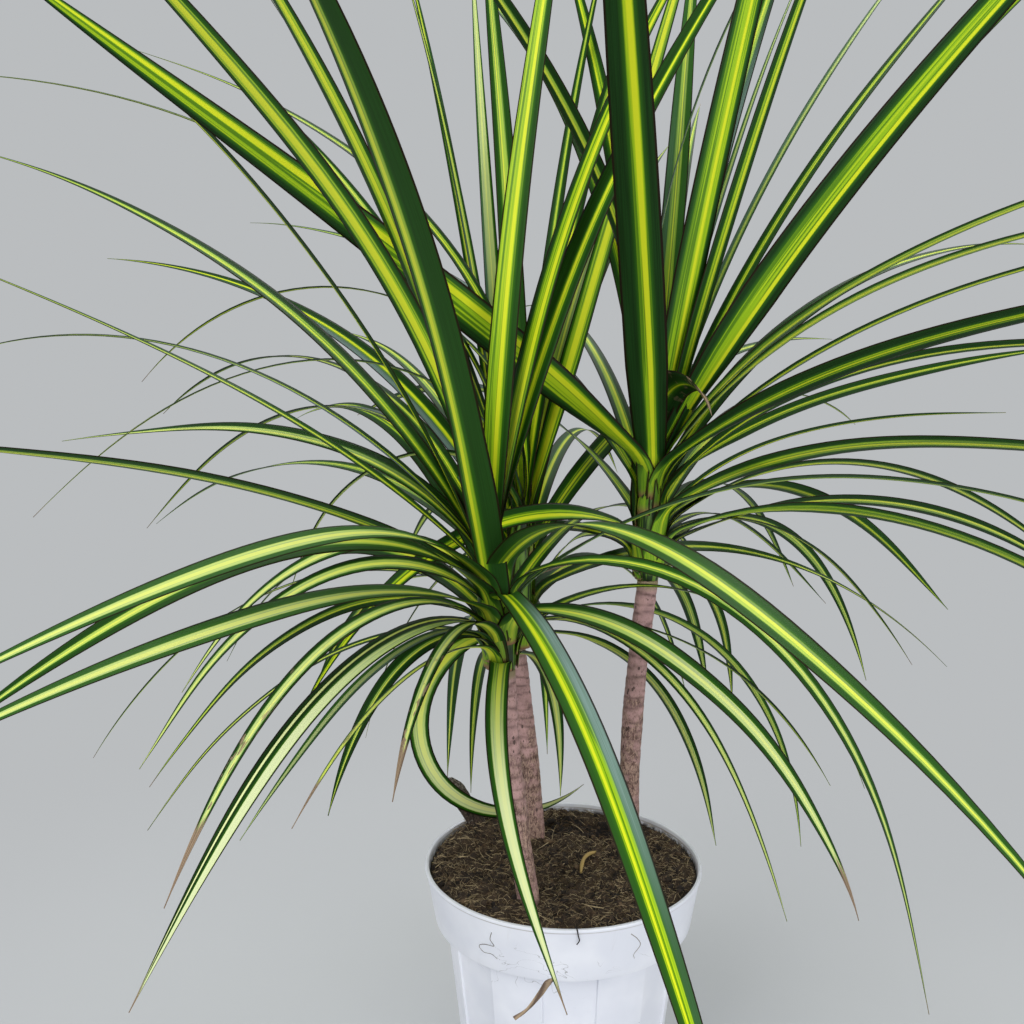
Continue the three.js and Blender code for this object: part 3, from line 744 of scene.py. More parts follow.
def leaf_finish(looks):
    """Dark green blade with a lime band, a yellow line, fine stripes, a dark red edge, a dry tip and, on
    some blades, a painted sheen.
    """
    f = Finish("striped_leaf", 0.4)
    across, along, side = f.split(f.attribute("blade"))
    middle, narrow, cream = f.split(f.attribute("band"))
    line, thin, painted_sheen = f.split(f.attribute("line"))
    seed, dry, margin = f.split(f.attribute("wear"))
    foot = f.ramp(along, 0.035, -0.012)
    half = f.times_plus(foot, 0.45, narrow)
    # Each blade has its own stripes, stretched along it.
    stripes = f.vector(f.times_plus(seed, 97.0, across), f.times(along, 0.3), f.times(seed, 31.0))
    wide = f.noise(stripes, 2.6, 1.0)
    fine = f.noise(stripes, 7.5, 1.0, 0.6)
    hair = f.noise(stripes, 24.0, 1.0)
    wobble = f.times(f.minus(wide, 0.5), 0.30)
    offset = f.plus(f.absolute(f.minus(across, middle)), wobble)
    light = f.ramp(offset, f.plus(half, BAND_SOFTNESS), f.minus(half, BAND_SOFTNESS))
    fringe = f.ramp(offset, *(f.plus(half, reach) for reach in FRINGE))
    beside = f.swayed(f.absolute(f.minus(across, line)), fine, 0.08)
    bright = f.ramp(beside, f.plus(thin, LINE_SOFTNESS), f.minus(thin, LINE_SOFTNESS))

    green = f.mix(f.ramp(hair, 0.35, 0.65), looks.dark_green, looks.deep_green)
    green = f.mix(f.times(margin, 0.75), green, looks.grey_green)
    green = f.mix(f.times(fringe, 0.75), green, looks.mid_green)
    colour = f.mix(light, green, looks.lime)
    streaks = f.times(f.ramp(fine, 0.52, 0.57), f.times(light, 0.75))
    colour = f.mix(streaks, colour, looks.mid_green)
    threads = f.times(f.ramp(fine, 0.44, 0.38), f.times(light, 0.35))
    colour = f.mix(threads, colour, looks.yellow)
    colour = f.mix(bright, colour, looks.yellow)
    # Cream grows towards the tip.
    bleach = f.times(cream, f.ramp(along, 0.10, 0.60, 0.15, 1.0))
    bleach = f.times(f.math("MAXIMUM", light, bright), bleach)
    colour = f.mix(bleach, colour, looks.cream)
    # The underside is duller, with a touch of the sheen colour. Some blades have a painted sheen on one
    # side: a painted reflection of bright light.
    under = f.ramp(side, 0.3, -0.3)
    colour = f.mix(f.times(under, 0.015), colour, looks.painted_sheen)
    # Painted highlight: the sheen's mask lies on one side of the blade and fades towards the foot and the
    # tip.
    sided = f.times(across, f.math("SIGN", painted_sheen))
    sheen = f.times(f.ramp(sided, 0.08, 0.60), f.ramp(hair, 0.30, 0.65, 0.6, 1.0))
    sheen = f.times(sheen, f.ramp(along, 0.42, 0.70, 1.0, 0.12))
    sheen = f.times(sheen, f.ramp(along, 0.06, 0.22))
    colour = f.mix(f.times(sheen, f.absolute(painted_sheen)), colour, looks.painted_sheen)
    # Base of the blade and its clasping sheath
    colour = f.mix(f.times(foot, 0.6), colour, looks.base_green)
    colour = f.mix(f.ramp(along, -0.030, -0.050), colour, looks.scar)
    # Edge line
    edge = f.ramp(f.absolute(across), *EDGE_LINE)
    colour = f.mix(f.times(edge, 0.9), colour, looks.edge)
    # Dry tip and spots on old leaves
    tan = f.mix(f.ramp(f.noise(stripes, 8.0, 3.0), 0.35, 0.65), looks.dry_dark, looks.dry_light)
    start = f.minus(1.0, dry)
    torn = f.swayed(along, wide, 0.10)
    tip = f.times(f.ramp(torn, start, f.plus(start, 0.025)), f.ramp(dry, 0.0, 0.01))
    patch = f.vector(f.times(across, 0.8), f.times(along, 14.0), f.times(seed, 57.0))
    patch = f.noise(patch, 1.3, 3.0, 0.6)
    near_tip = f.ramp(along, f.minus(start, f.times(dry, 3.0)), start)
    near_tip = f.times(near_tip, f.ramp(dry, 0.1, 0.15))
    spots = f.times(f.ramp(patch, 0.56, 0.62), near_tip)
    colour = f.mix(f.math("MAXIMUM", tip, spots), colour, tan)
    f.colour(colour)
    f.put(f.shader.inputs["Roughness"], f.ramp(hair, 0.2, 0.8, 0.38, 0.50))
    f.shader.inputs["IOR"].default_value = 1.16
    f.bump(fine, 0.10, 0.0003)
    return f.material


def crown_finish(looks):
    """Streaky green core behind the sheaths."""
    f = Finish("crown_core", 0.5)
    grain = f.noise(f.place((420, 420, 30)), 1.0, 3.0)
    f.colour(f.mix(f.ramp(grain, 0.4, 0.6), looks.dark_green, looks.base_green))
    f.bump(grain, 0.4, 0.0006)
    return f.material


def pot_finish(looks):
    """White moulded plastic, a little blue, with dirt specks and smears, a soiled inner wall and a painted
    shadow line under the bead.
    """
    f = Finish("white_plastic", 0.33)
    where = f.place()
    x, y, z = f.split(where)
    cloud = f.noise(where, 26.0, 3.0)
    colour = f.mix(f.ramp(cloud, 0.35, 0.7), looks.shade, looks.plastic)
    smear = f.noise(f.place((60, 60, 14)), 1.0, 5.0, 0.65, 0.6)
    colour = f.mix(f.ramp(smear, 0.60, 0.80, 0.0, 0.22), colour, looks.dust_and_shadow)
    speck = f.cells(where, 240.0)
    size = f.ramp(f.noise(where, 34.0, 2.0), 0.60, 0.78, 0.0, 0.13)
    colour = f.mix(f.is_less(speck, size), colour, looks.dirt)
    mark = f.cells(f.place((1, 1, 2.2)), 75.0)
    size = f.ramp(f.noise(where, 21.0, 2.0), 0.62, 0.78, 0.0, 0.10)
    colour = f.mix(f.is_less(mark, size), colour, looks.dirt)
    # Thin scuffs that wander
    wander = f.noise(f.place((30, 30, 40)), 1.0, 3.0, 0.5, 1.4)
    line = f.ramp(f.absolute(f.minus(wander, 0.5)), 0.0035, 0.0015)
    line = f.times(line, f.ramp(f.noise(where, 17.0), 0.55, 0.62))
    colour = f.mix(f.times(line, 0.5), colour, looks.dirt)
    # Peat clings to the wall just above the soil.
    reach = f.distance(x, y)
    start, slope, radius = INNER_WALL
    wall = f.times_plus(f.minus(z, start), slope, radius)
    inner = f.times(f.is_less(reach, wall), f.math("GREATER_THAN", z, 0.118))
    inner = f.times(inner, f.ramp(z, 0.1435, 0.1395))
    colour = f.mix(f.times(inner, f.ramp(f.noise(where, 300.0), 0.35, 0.55)), colour, looks.dirt)
    # Painted shadow: a thin grey line in the groove under the bead, in the dust colour
    groove_height = (POT_HEIGHT - BEAD_HEIGHT - 0.1) * MM
    bead_shadow = f.ramp(f.absolute(f.minus(z, groove_height)), 0.0006, 0.0002)
    colour = f.mix(f.times(bead_shadow, f.ramp(cloud, 0.3, 0.6, 0.35, 0.75)), colour, looks.dust_and_shadow)
    f.colour(colour)
    f.put(f.shader.inputs["Roughness"], f.ramp(cloud, 0.3, 0.7, 0.28, 0.42))
    f.bump(f.noise(where, 900.0, 2.0), 0.06, 0.0003)
    return f.material


def peat_finish(looks):
    """Dark peat with brown clumps, pale grit and strands, and painted shade in the hollow."""
    f = Finish("peat", 0.95)
    where = f.place()
    clump = f.noise(where, 70.0, 4.0, 0.6)
    grit = f.noise(where, 900.0, 3.0, 0.7)
    strand = f.noise(f.place((420, 1500, 900)), 1.0, 2.0, 0.6, 1.2)
    colour = f.mix(f.ramp(clump, 0.35, 0.65), looks.peat_dark, looks.peat)
    colour = f.mix(f.ramp(grit, 0.50, 0.72), colour, looks.peat_light)
    colour = f.mix(f.ramp(strand, 0.58, 0.70, 0.0, 0.8), colour, looks.fibre_dark)
    # Painted shade: the hollow at the back is darkened almost to black.
    x, y, _ = f.split(where)
    off_x = f.math("DIVIDE", f.minus(x, SHADED_HOLLOW[0] * MM), SHADED_HOLLOW[2] * MM)
    off_y = f.math("DIVIDE", f.minus(y, SHADED_HOLLOW[1] * MM), SHADED_HOLLOW[3] * MM)
    away = f.swayed(f.distance(off_x, off_y), clump, 1.2)
    colour = f.mix(f.ramp(away, 1.15, 0.75, 0.0, 0.9), colour, looks.peat_dark)
    f.colour(colour)
    f.bump(f.plus(grit, strand), 0.9, 0.0012)
    return f.material


def tone_finish(name, dark, light, roughness):
    """Colour between two tones by the piece's own tone attribute, with a little grain."""
    f = Finish(name, roughness)
    tone, _, _ = f.split(f.attribute("tone"))
    grain = f.noise(f.place(), 1400.0, 2.0)
    mixed = f.swayed(tone, grain, 0.5)
    f.colour(f.mix(f.ramp(mixed, 0.0, 1.0), dark, light))
    f.bump(grain, 0.4, 0.0003)
    return f.material


def bark_finish(looks):
    """Pink-brown bark: paler and smoother above, rough and fibrous below, with ring scars and pits."""
    f = Finish("ringed_bark", 0.75)
    ring, height, _ = f.split(f.attribute("bark"))
    where = f.place()
    patch = f.noise(where, 120.0, 4.0, 0.6)
    fleck = f.noise(f.place((1, 1, 0.55)), 1100.0, 3.0, 0.65, 0.5)
    fibre = f.noise(f.place((900, 900, 300)), 1.0, 4.0, 0.7, 0.9)
    old = f.ramp(f.swayed(height, patch, 1.1), 0.72, 0.30)
    young = f.mix(f.ramp(patch, 0.35, 0.65), looks.mauve, looks.pink)
    young = f.mix(f.ramp(fleck, 0.56, 0.66, 0.0, 0.55), young, looks.brown)
    worn = f.mix(f.ramp(fibre, 0.40, 0.58), looks.brown, looks.tan)
    worn = f.mix(f.ramp(fleck, 0.55, 0.62, 0.0, 0.85), worn, looks.scar)
    worn = f.mix(f.ramp(patch, 0.48, 0.6, 0.0, 0.5), worn, looks.pink)
    colour = f.mix(f.times(old, 0.9), young, worn)
    colour = f.mix(f.times(ring, 0.8), colour, looks.scar)
    pits = f.cells(f.place((1, 1, 0.6)), 330.0)
    size = f.ramp(f.noise(where, 85.0, 2.0), 0.47, 0.66, 0.0, 0.30)
    colour = f.mix(f.times(f.is_less(pits, size), 0.8), colour, looks.pit)
    # The last old sheath under the leaves is still green and tan.
    sheath = f.times(f.ramp(height, 0.955, 0.985), f.ramp(patch, 0.40, 0.55, 0.4, 1.0))
    colour = f.mix(f.times(sheath, 0.8), colour, looks.sheath)
    f.colour(colour)
    rough = f.times_plus(old, 0.8, 0.2)
    rough = f.times_plus(f.plus(fibre, fleck), rough, f.times(patch, 0.5))
    f.bump(rough, 0.85, 0.0012)
    return f.material


def stump_finish(looks):
    """Dark fibrous dead wood, grey on top."""
    f = Finish("dead_wood", 0.95)
    fibre = f.noise(f.place((700, 700, 220)), 1.0, 4.0, 0.7, 0.6)
    grit = f.noise(f.place(), 600.0, 3.0, 0.7)
    colour = f.mix(f.ramp(fibre, 0.4, 0.62), looks.stump_dark, looks.stump_light)
    colour = f.mix(f.ramp(grit, 0.58, 0.70, 0.0, 0.7), colour, looks.grey)
    # Weathered grey patch at the top
    _, _, z = f.split(f.place())
    bleached = f.times(f.ramp(z, 0.166, 0.176), f.ramp(grit, 0.44, 0.56, 0.0, 0.8))
    colour = f.mix(bleached, colour, looks.grey)
    f.colour(colour)
    f.bump(f.plus(fibre, grit), 0.9, 0.0016)
    return f.material


# ---------------------------------------------------------------- meshes


def finished(name, mesh, materials, nodes=()):
    """Puts a mesh in the scene as a piece, in place of the solid nodes that it stands for."""
    for material in materials:
        mesh.materials.append(material)
    mesh.shade_smooth()
    piece = bpy.data.objects.new(name, mesh)
    bpy.context.scene.collection.objects.link(piece)
    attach(piece, PIECE_BODY)
    if nodes:
        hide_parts(*nodes)


def mesh_from(bm, name):
    mesh = bpy.data.meshes.new(name)
    bm.to_mesh(mesh)
    bm.free()
    return mesh


def coordinates(mesh):
    co = np.empty(len(mesh.vertices) * 3, np.float32)
    mesh.vertices.foreach_get("co", co)
    return co.reshape(-1, 3).astype(float)


def set_coordinates(mesh, points):
    mesh.vertices.foreach_set("co", (np.asarray(points) * MM).astype(np.float32).ravel())
    mesh.update()


def set_vectors(mesh, name, values):
    layer = mesh.attributes.new(name, "FLOAT_VECTOR", "POINT")
    layer.data.foreach_set("vector", np.asarray(values, np.float32).ravel())


def set_tone(mesh, tone):
    """Each vertex's share between a finish's dark and light tone."""
    set_vectors(mesh, "tone", np.stack([tone, tone, tone], -1))


def set_material(mesh, first_face, index):
    found = np.zeros(len(mesh.polygons), np.int32)
    found[first_face:] = index
    mesh.polygons.foreach_set("material_index", found)


def repeated(template, count, name):
    """One mesh that holds a template mesh many times."""
    bm = bmesh.new()
    for _ in range(count):
        bm.from_mesh(template)
    return mesh_from(bm, name)


def mesh_in_metres(bm, name):
    bmesh.ops.scale(bm, vec=(MM, MM, MM), verts=bm.verts)
    return mesh_from(bm, name)


def lathe(profile, steps):
    """Closed shell turned about the z axis from radii and heights."""
    bm = bmesh.new()
    verts = [bm.verts.new((radius, 0, z)) for radius, z in profile]
    edges = [bm.edges.new(pair) for pair in zip(verts, verts[1:])]
    bmesh.ops.spin(
        bm, geom=verts + edges, cent=(0, 0, 0), axis=(0, 0, 1),
        angle=math.tau, steps=steps, use_merge=True
    )
    bmesh.ops.remove_doubles(bm, verts=bm.verts, dist=1e-4)
    bmesh.ops.recalc_face_normals(bm, faces=bm.faces)
    return bm


def rod_template(sides, segments):
    """Closed rod of unit radius from z 0 to 1, cut into segments."""
    bm = bmesh.new()
    bmesh.ops.create_cone(bm, cap_ends=True, segments=sides, radius1=1, radius2=1, depth=1)
    bmesh.ops.translate(bm, verts=bm.verts, vec=(0, 0, 0.5))
    upright = [e for e in bm.edges if abs(e.verts[0].co.z - e.verts[1].co.z) > 0.5]
    bmesh.ops.subdivide_edges(bm, edges=upright, cuts=segments - 1, use_grid_fill=False)
    return mesh_from(bm, "rod_template")


def crumb_template():
    bm = bmesh.new()
    bmesh.ops.create_icosphere(bm, subdivisions=1, radius=1)
    return mesh_from(bm, "crumb_template")


def blade_template():
    """Flat closed blade: x across -1..1, y row number, z 1 above and 0 below."""
    rows = ARCH_ROWS + BLADE_ROWS
    bm = bmesh.new()
    bmesh.ops.create_grid(bm, x_segments=ACROSS_FACES, y_segments=rows - 1, size=1)
    bmesh.ops.scale(bm, vec=(1, (rows - 1) / 2, 1), verts=bm.verts)
    bmesh.ops.translate(bm, vec=(0, (rows - 1) / 2, 1), verts=bm.verts)
    bmesh.ops.solidify(bm, geom=list(bm.faces), thickness=1)
    for vert in bm.verts:
        vert.co.z = round(vert.co.z)
    bmesh.ops.recalc_face_normals(bm, faces=bm.faces)
    # The rule below turns the space inside out, so the faces are turned first.
    bmesh.ops.reverse_faces(bm, faces=bm.faces)
    return mesh_from(bm, "blade_template")


def bent_blade(stem, leaf, draw, taper):
    """Rows of a fine blade: centres, side and normal directions, width, fold, share along, thickness."""
    length, width = leaf[4], leaf[5]
    path = blade_path(stem, leaf, PATH_STEPS)
    share = np.linspace(0, 1, PATH_STEPS + 1)
    arch_end = ARCH_LENGTH / length
    t = np.linspace(arch_end, 1, BLADE_ROWS + 1)[1:]
    t = arch_end + (1 - arch_end) * ((t - arch_end) / (1 - arch_end)) ** ROW_CROWDING
    centres = np.stack([np.interp(t, share, path[:, i]) for i in range(3)], -1)
    pitch, yaw = blade_angles(leaf, t)

    # The sheath climbs the crown and arches over into the blade.
    low, high = zip(*CROWN_PROFILE)
    reach = float(np.interp(leaf[0], low, high)) + SHEATH_PLAY * draw.random()
    heading = math.radians(leaf[1])
    out = vec((math.cos(heading), math.sin(heading), 0))
    foot = blade_root(stem, leaf) + out * reach - vec((0, 0, SHEATH_LENGTH))
    foot[2] = max(foot[2], stem["top"][2] + 1.0)
    end = vec([np.interp(arch_end, share, path[:, i]) for i in range(3)])
    end_pitch, end_yaw = (float(v) for v in blade_angles(leaf, arch_end))
    pull = np.linalg.norm(end - foot) * (ARCH_PULL + LOW_ARCH_PULL * max(0.0, -math.sin(end_pitch)))
    points = [foot, foot + vec((0, 0, pull)), end - along_direction(end_pitch, end_yaw) * pull, end]
    s = np.linspace(0, 1, ARCH_ROWS)[:, None]
    weights = (1 - s) ** 3, 3 * s * (1 - s) ** 2, 3 * s**2 * (1 - s), s**3
    curve = sum(point * weight for point, weight in zip(points, weights))
    weights = (1 - s) ** 2, 2 * s * (1 - s), s**2
    slope = sum((b - a) * weight for a, b, weight in zip(points, points[1:], weights))
    arch_pitch = np.arctan2(slope[:, 2], slope[:, :2] @ out[:2])
    arch_yaw = heading + (end_yaw - heading) * s[:, 0]
    steps = np.linalg.norm(np.diff(curve, axis=0), axis=1)
    run = np.concatenate([[0], np.cumsum(steps)])

    centres = np.vstack([curve, centres])
    pitch = np.concatenate([arch_pitch, pitch])
    yaw = np.concatenate([arch_yaw, yaw])
    true_share = np.concatenate([arch_end * s[:, 0], t])
    side, normal = across_directions(leaf, true_share, pitch, yaw)
    distance = np.concatenate([run, run[-1] + (t - arch_end) * length])

    sheath = min(max(SHEATH_SHARE * width, SHEATH_WIDTHS[0]), SHEATH_WIDTHS[1])
    blade = width * np.minimum(1, FOOT_SHARE + WIDENING * true_share) * (1 - true_share**taper)
    hold = np.exp(-((distance / SHEATH_FADE) ** 2))
    wide = np.maximum(LEAST_WIDTH, sheath * hold + blade * (1 - hold))
    clasp = min(sheath / reach, CLASP_LIMIT)
    fold = OPEN_FOLD + (clasp - OPEN_FOLD) * np.exp(-distance / FOLD_FADE)
    fold = fold + TIP_FOLD * true_share**3 * draw.random()

    # Slight waves and a soft roll, growing outwards
    wave = WAVE * width * np.sin(true_share * draw.uniform(9, 20) + draw.uniform(0, 6)) * true_share
    centres = centres + normal * (wave * 2)[:, None]
    sway = np.sin(true_share * draw.uniform(5, 12) + draw.uniform(0, 6))
    roll = math.radians(ROLL_DEG) * sway * true_share
    turned = side * np.cos(roll)[:, None] + normal * np.sin(roll)[:, None]
    normal = normal * np.cos(roll)[:, None] - side * np.sin(roll)[:, None]

    along = true_share.copy()
    along[:ARCH_ROWS] = -SHEATH_REACH + (arch_end + SHEATH_REACH) * (run / run[-1])
    thick = THICKNESS + FOOT_THICKNESS * np.exp(-distance / THICKNESS_FADE)
    thick = thick * (1 - NARROW_THINNING + NARROW_THINNING * np.minimum(1, wide / NARROW_WIDTH))
    return centres, turned, normal, wide, fold, along, thick


def folded_points(template, rows):
    """Template points bent into place: each row is an arc that is thinner towards its edges."""
    centres, side, normal, wide, fold, along, thick = rows
    across = template[:, 0]
    row = np.rint(template[:, 1]).astype(int)
    above = template[:, 2] > 0.5
    angle = fold[row] / 2 * across
    radius = wide[row] / fold[row]
    depth = thick[row] * (1 - EDGE_THINNING * across**2) * np.where(above, 0.5, -0.5)
    # A faint keel under the middle
    keel = KEEL * thick[row] * np.exp(-((across / KEEL_WIDTH) ** 2))
    depth = depth - np.where(above, 0.0, keel)
    sideways = (radius - depth) * np.sin(angle)
    upwards = radius - (radius - depth) * np.cos(angle)
    return centres[row] + side[row] * sideways[:, None] + normal[row] * upwards[:, None]


def look_of(head, placed, draw):
    """Band, line and wear values of one leaf, as the leaf finish reads them."""
    age = 1 - placed["leaf"][0]
    half = draw.uniform(0.20, 0.40)
    middle = draw.uniform(-0.16, 0.16)
    cream = draw.uniform(0.0, 0.15) + 0.15 * max(0, age - 0.4)
    line = middle + draw.uniform(-0.5, 0.5) * half
    thin = draw.uniform(0.05, 0.14)
    # Some blades get a painted sheen on one side; its sign gives the side.
    painted_sheen = draw.choice((-1, 1)) * draw.uniform(0.3, 0.6) if draw.random() < 0.15 else 0.0
    dry = draw.uniform(0.01, 0.035) if draw.random() < 0.25 + 0.6 * age else 0.0
    margin = draw.uniform(0.0, 0.35)
    seed = draw.random()
    if placed["row"] in MARKED[head]:
        middle, half, cream, line, thin, painted_sheen, dry, margin = MARKED[head][placed["row"]]
    return {"band": (middle, half, cream), "line": (line, thin, painted_sheen), "wear": (seed, dry, margin)}


def within(value, low, high, margin):
    """Value brought from between low and high to between 0 and 1, with a margin at both ends."""
    return margin + (1 - 2 * margin) * (value - low) / (high - low)


def strip_map(mesh, template, blades, count):
    """A UV map on which each face of each blade is one straight strip."""
    loops = len(template.loops)
    vertex = np.empty(loops, np.int32)
    template.loops.foreach_get("vertex_index", vertex)
    co = coordinates(template)
    first = np.empty(len(template.polygons), np.int32)
    total = np.empty(len(template.polygons), np.int32)
    template.polygons.foreach_get("loop_start", first)
    template.polygons.foreach_get("loop_total", total)
    face = np.repeat(np.arange(len(first)), total)
    above = co[vertex, 2] > 0.5
    share_above = np.add.reduceat(above.astype(float), first) / total
    lower = (share_above < 0.25)[face]
    rim = ((share_above > 0.25) & (share_above < 0.75))[face]
    x = co[vertex, 0].copy()
    y = co[vertex, 1] / co[:, 1].max()
    # The rim's faces lie outside the strip of the upper face.
    x[rim & ~above & (x > 0.99)] = 1.1
    x[rim & ~above & (x < -0.99)] = -1.1
    ends = rim & ~above & (np.abs(x) < 0.99)
    y[ends] = np.where(y[ends] > 0.5, 1.01, -0.01)
    columns = STRIP_COLUMNS
    rows = math.ceil(2 * blades / columns)
    per_loop = np.empty((count, 2), np.float32)
    for blade in range(blades):
        strip = 2 * blade + lower
        column = strip % columns
        row = strip // columns
        u = (column + within(y, -0.012, 1.012, END_MARGIN)) / columns
        v = (row + within(x, -1.12, 1.12, SIDE_MARGIN)) / (rows + 1)
        per_loop[blade * loops:(blade + 1) * loops] = np.stack([u, v], -1)
    rest = per_loop[blades * loops:]
    if len(rest):
        at = np.empty(len(mesh.loops), np.int32)
        mesh.loops.foreach_get("vertex_index", at)
        points = coordinates(mesh)[at[blades * loops:]]
        low, high = points.min(0), points.max(0)
        unit = (points - low) / np.maximum(high - low, 1e-9)
        middle = points[:, :2].mean(0)
        turn = (np.arctan2(points[:, 1] - middle[1], points[:, 0] - middle[0]) / math.tau) % 1
        rest[:, 0] = within(turn, 0, 1, END_MARGIN / 2)
        rest[:, 1] = (rows + within(unit[:, 2], 0, 1, SIDE_MARGIN)) / (rows + 1)
    layer = mesh.uv_layers.new(name="OFBake", do_init=False)
    layer.uv.foreach_set("vector", per_loop.ravel())


def lofted_rod(template, centres, radii):
    """Template rod bent round a line of centres; radii is a function of row and turn."""
    z = template[:, 2] * (len(centres) - 1)
    low = np.clip(np.floor(z).astype(int), 0, len(centres) - 2)
    at = centres[low] + (centres[low + 1] - centres[low]) * (z - low)[:, None]
    turn = np.arctan2(template[:, 1], template[:, 0])
    radius = radii(template[:, 2], turn)
    flat = np.stack([np.cos(turn) * radius, np.sin(turn) * radius, 0 * radius], -1)
    return at + flat


def wrapped(angle):
    """The same angle between minus and plus half a turn."""
    return (angle + math.pi) % math.tau - math.pi


def curve_through(route, count):
    """Points of a smooth curve through a short route."""
    at = np.vstack([2 * vec(route[0]) - vec(route[1]), vec(route), 2 * vec(route[-1]) - vec(route[-2])])
    place = np.linspace(0, len(route) - 1, count)
    low = np.minimum(place.astype(int), len(route) - 2)
    t = (place - low)[:, None]
    a, b, c, d = (at[low + k] for k in range(4))
    return 0.5 * (
        2 * b + (c - a) * t + (2 * a - 5 * b + 4 * c - d) * t**2 + (3 * b - a - 3 * c + d) * t**3
    )


def swept_rod(unit, route, half_width, half_depth, facing):
    """Template rod swept along a route, as wide and as deep as given across a facing direction."""
    rows = len(np.unique(np.round(unit[:, 2], 6)))
    row = np.rint(unit[:, 2] * (rows - 1)).astype(int)
    centres = curve_through(route, rows)
    ahead = np.gradient(centres, axis=0)
    ahead /= np.linalg.norm(ahead, axis=1)[:, None]
    side = np.cross(ahead, vec(facing))
    side /= np.linalg.norm(side, axis=1)[:, None]
    depth = np.cross(side, ahead)
    given = np.linspace(0, 1, len(half_width))
    wide = np.interp(np.linspace(0, 1, rows), given, half_width)[row][:, None]
    return centres[row] + side[row] * unit[:, :1] * wide + depth[row] * unit[:, 1:2] * half_depth


def collar_radius(z):
    """Radius of the collar's outer face."""
    low = POT_HEIGHT - COLLAR_HEIGHT + SHOULDER_HEIGHT
    high = POT_HEIGHT - BEAD_HEIGHT
    widening = RIM_RADIUS - BEAD_DEPTH - COLLAR_BOTTOM_RADIUS
    return COLLAR_BOTTOM_RADIUS + widening * (z - low) / (high - low)


def collar_point(heading, height):
    """Point on the collar's outer face."""
    radius = collar_radius(height)
    angle = math.radians(heading)
    return radius * math.cos(angle), radius * math.sin(angle), height


# ---------------------------------------------------------------- pieces


def colour(name, description, default):
    return bpy.props.FloatVectorProperty(
        name=name, description=description, subtype="COLOR", default=default, min=0, max=1
    )


def whole(name, description, default, least, most):
    return bpy.props.IntProperty(
        name=name, description=description, default=default, min=least, max=most
    )


class PotLooks(bpy.types.PropertyGroup):
    plastic: colour("Plastic", "Main colour of the pot", (0.86, 0.875, 0.94))
    shade: colour("Shade", "Slightly greyer plastic in the clouded places", (0.76, 0.78, 0.86))
    # This colour paints the dust smears and also the painted shadow line under the bead.
    dust_and_shadow: colour("Dust", "Thin smears of dried peat", (0.42, 0.38, 0.36))
    dirt: colour("Dirt", "Specks of peat", (0.05, 0.035, 0.03))
    columns: whole("Columns per panel", "Faces round each of the pot's panels", 12, 4, 24)


class SoilLooks(bpy.types.PropertyGroup):
    peat: colour("Peat", "Main colour of the soil", (0.060, 0.038, 0.022))
    # Darkest soil, and also the colour of the painted shade in the hollow.
    peat_dark: colour("Wet peat", "Darkest soil", (0.008, 0.005, 0.004))
    peat_light: colour("Dry peat", "Lightest soil", (0.17, 0.11, 0.06))
    fibre_dark: colour("Dark fibre", "Darkest fibres", (0.10, 0.055, 0.025))
    fibre_light: colour("Light fibre", "Lightest fibres", (0.60, 0.47, 0.27))
    twig: colour("Twig", "Yellow twig on the soil", (0.42, 0.29, 0.10))
    fibres: whole("Fibres", "Number of short fibres on the soil", 5400, 0, 6000)
    crumbs: whole("Crumbs", "Number of loose crumbs of peat", 1300, 0, 4000)
    seed: whole("Seed", "Seed of the litter's random places", 5, 0, 9999)


class CaneLooks(bpy.types.PropertyGroup):
    pink: colour("Young bark", "Bark near the leaves", (0.56, 0.34, 0.325))
    mauve: colour("Mauve bark", "Bark in the clouded places", (0.40, 0.24, 0.235))
    brown: colour("Old bark", "Dark fibres of the old bark", (0.115, 0.052, 0.040))
    tan: colour("Tan bark", "Light fibres of the old bark", (0.56, 0.38, 0.29))
    scar: colour("Scar", "Ring scars left by leaves", (0.085, 0.040, 0.034))
    sheath: colour("Old sheath", "Green-brown top of each cane", (0.22, 0.20, 0.08))
    pit: colour("Pit", "Dark pits", (0.05, 0.025, 0.02))
    stump_dark: colour("Stump", "Dark dead wood", (0.018, 0.012, 0.009))
    stump_light: colour("Stump fibre", "Lighter dead wood", (0.085, 0.055, 0.038))
    grey: colour("Grey wood", "Weathered bits of the stump", (0.30, 0.27, 0.22))
    ring_spacing: bpy.props.FloatProperty(
        name="Ring spacing", description="Distance between ring scars", subtype="DISTANCE",
        default=0.0068, min=0.002, max=0.03
    )


class LeafLooks(bpy.types.PropertyGroup):
    dark_green: colour("Dark green", "Darkest green of the margins", (0.006, 0.026, 0.002))
    deep_green: colour("Deep green", "Streaks in the margins", (0.010, 0.048, 0.006))
    mid_green: colour("Mid green", "Green beside and within the light band", (0.035, 0.14, 0.006))
    lime: colour("Lime", "Light band", (0.30, 0.50, 0.010))
    yellow: colour("Yellow", "Centre of the light band", (0.70, 0.76, 0.020))
    cream: colour("Cream", "Bleached band of old leaves", (0.80, 0.86, 0.50))
    grey_green: colour("Grey green", "Margins of the paler leaves", (0.045, 0.155, 0.022))
    # Colour of the painted sheen on some blades; the underside takes a touch of it too.
    painted_sheen: colour("Sheen", "Silvery blue film on some blades", (0.28, 0.40, 0.385))
    base_green: colour("Base", "Pale foot of each blade", (0.14, 0.28, 0.025))
    scar: colour("Sheath edge", "Brown lower edge of each sheath", (0.30, 0.16, 0.09))
    edge: colour("Edge", "Dark red line along each blade", (0.018, 0.006, 0.005))
    dry_dark: colour("Dry dark", "Dark dry tips", (0.11, 0.070, 0.050))
    dry_light: colour("Dry light", "Light dry tips", (0.40, 0.29, 0.185))


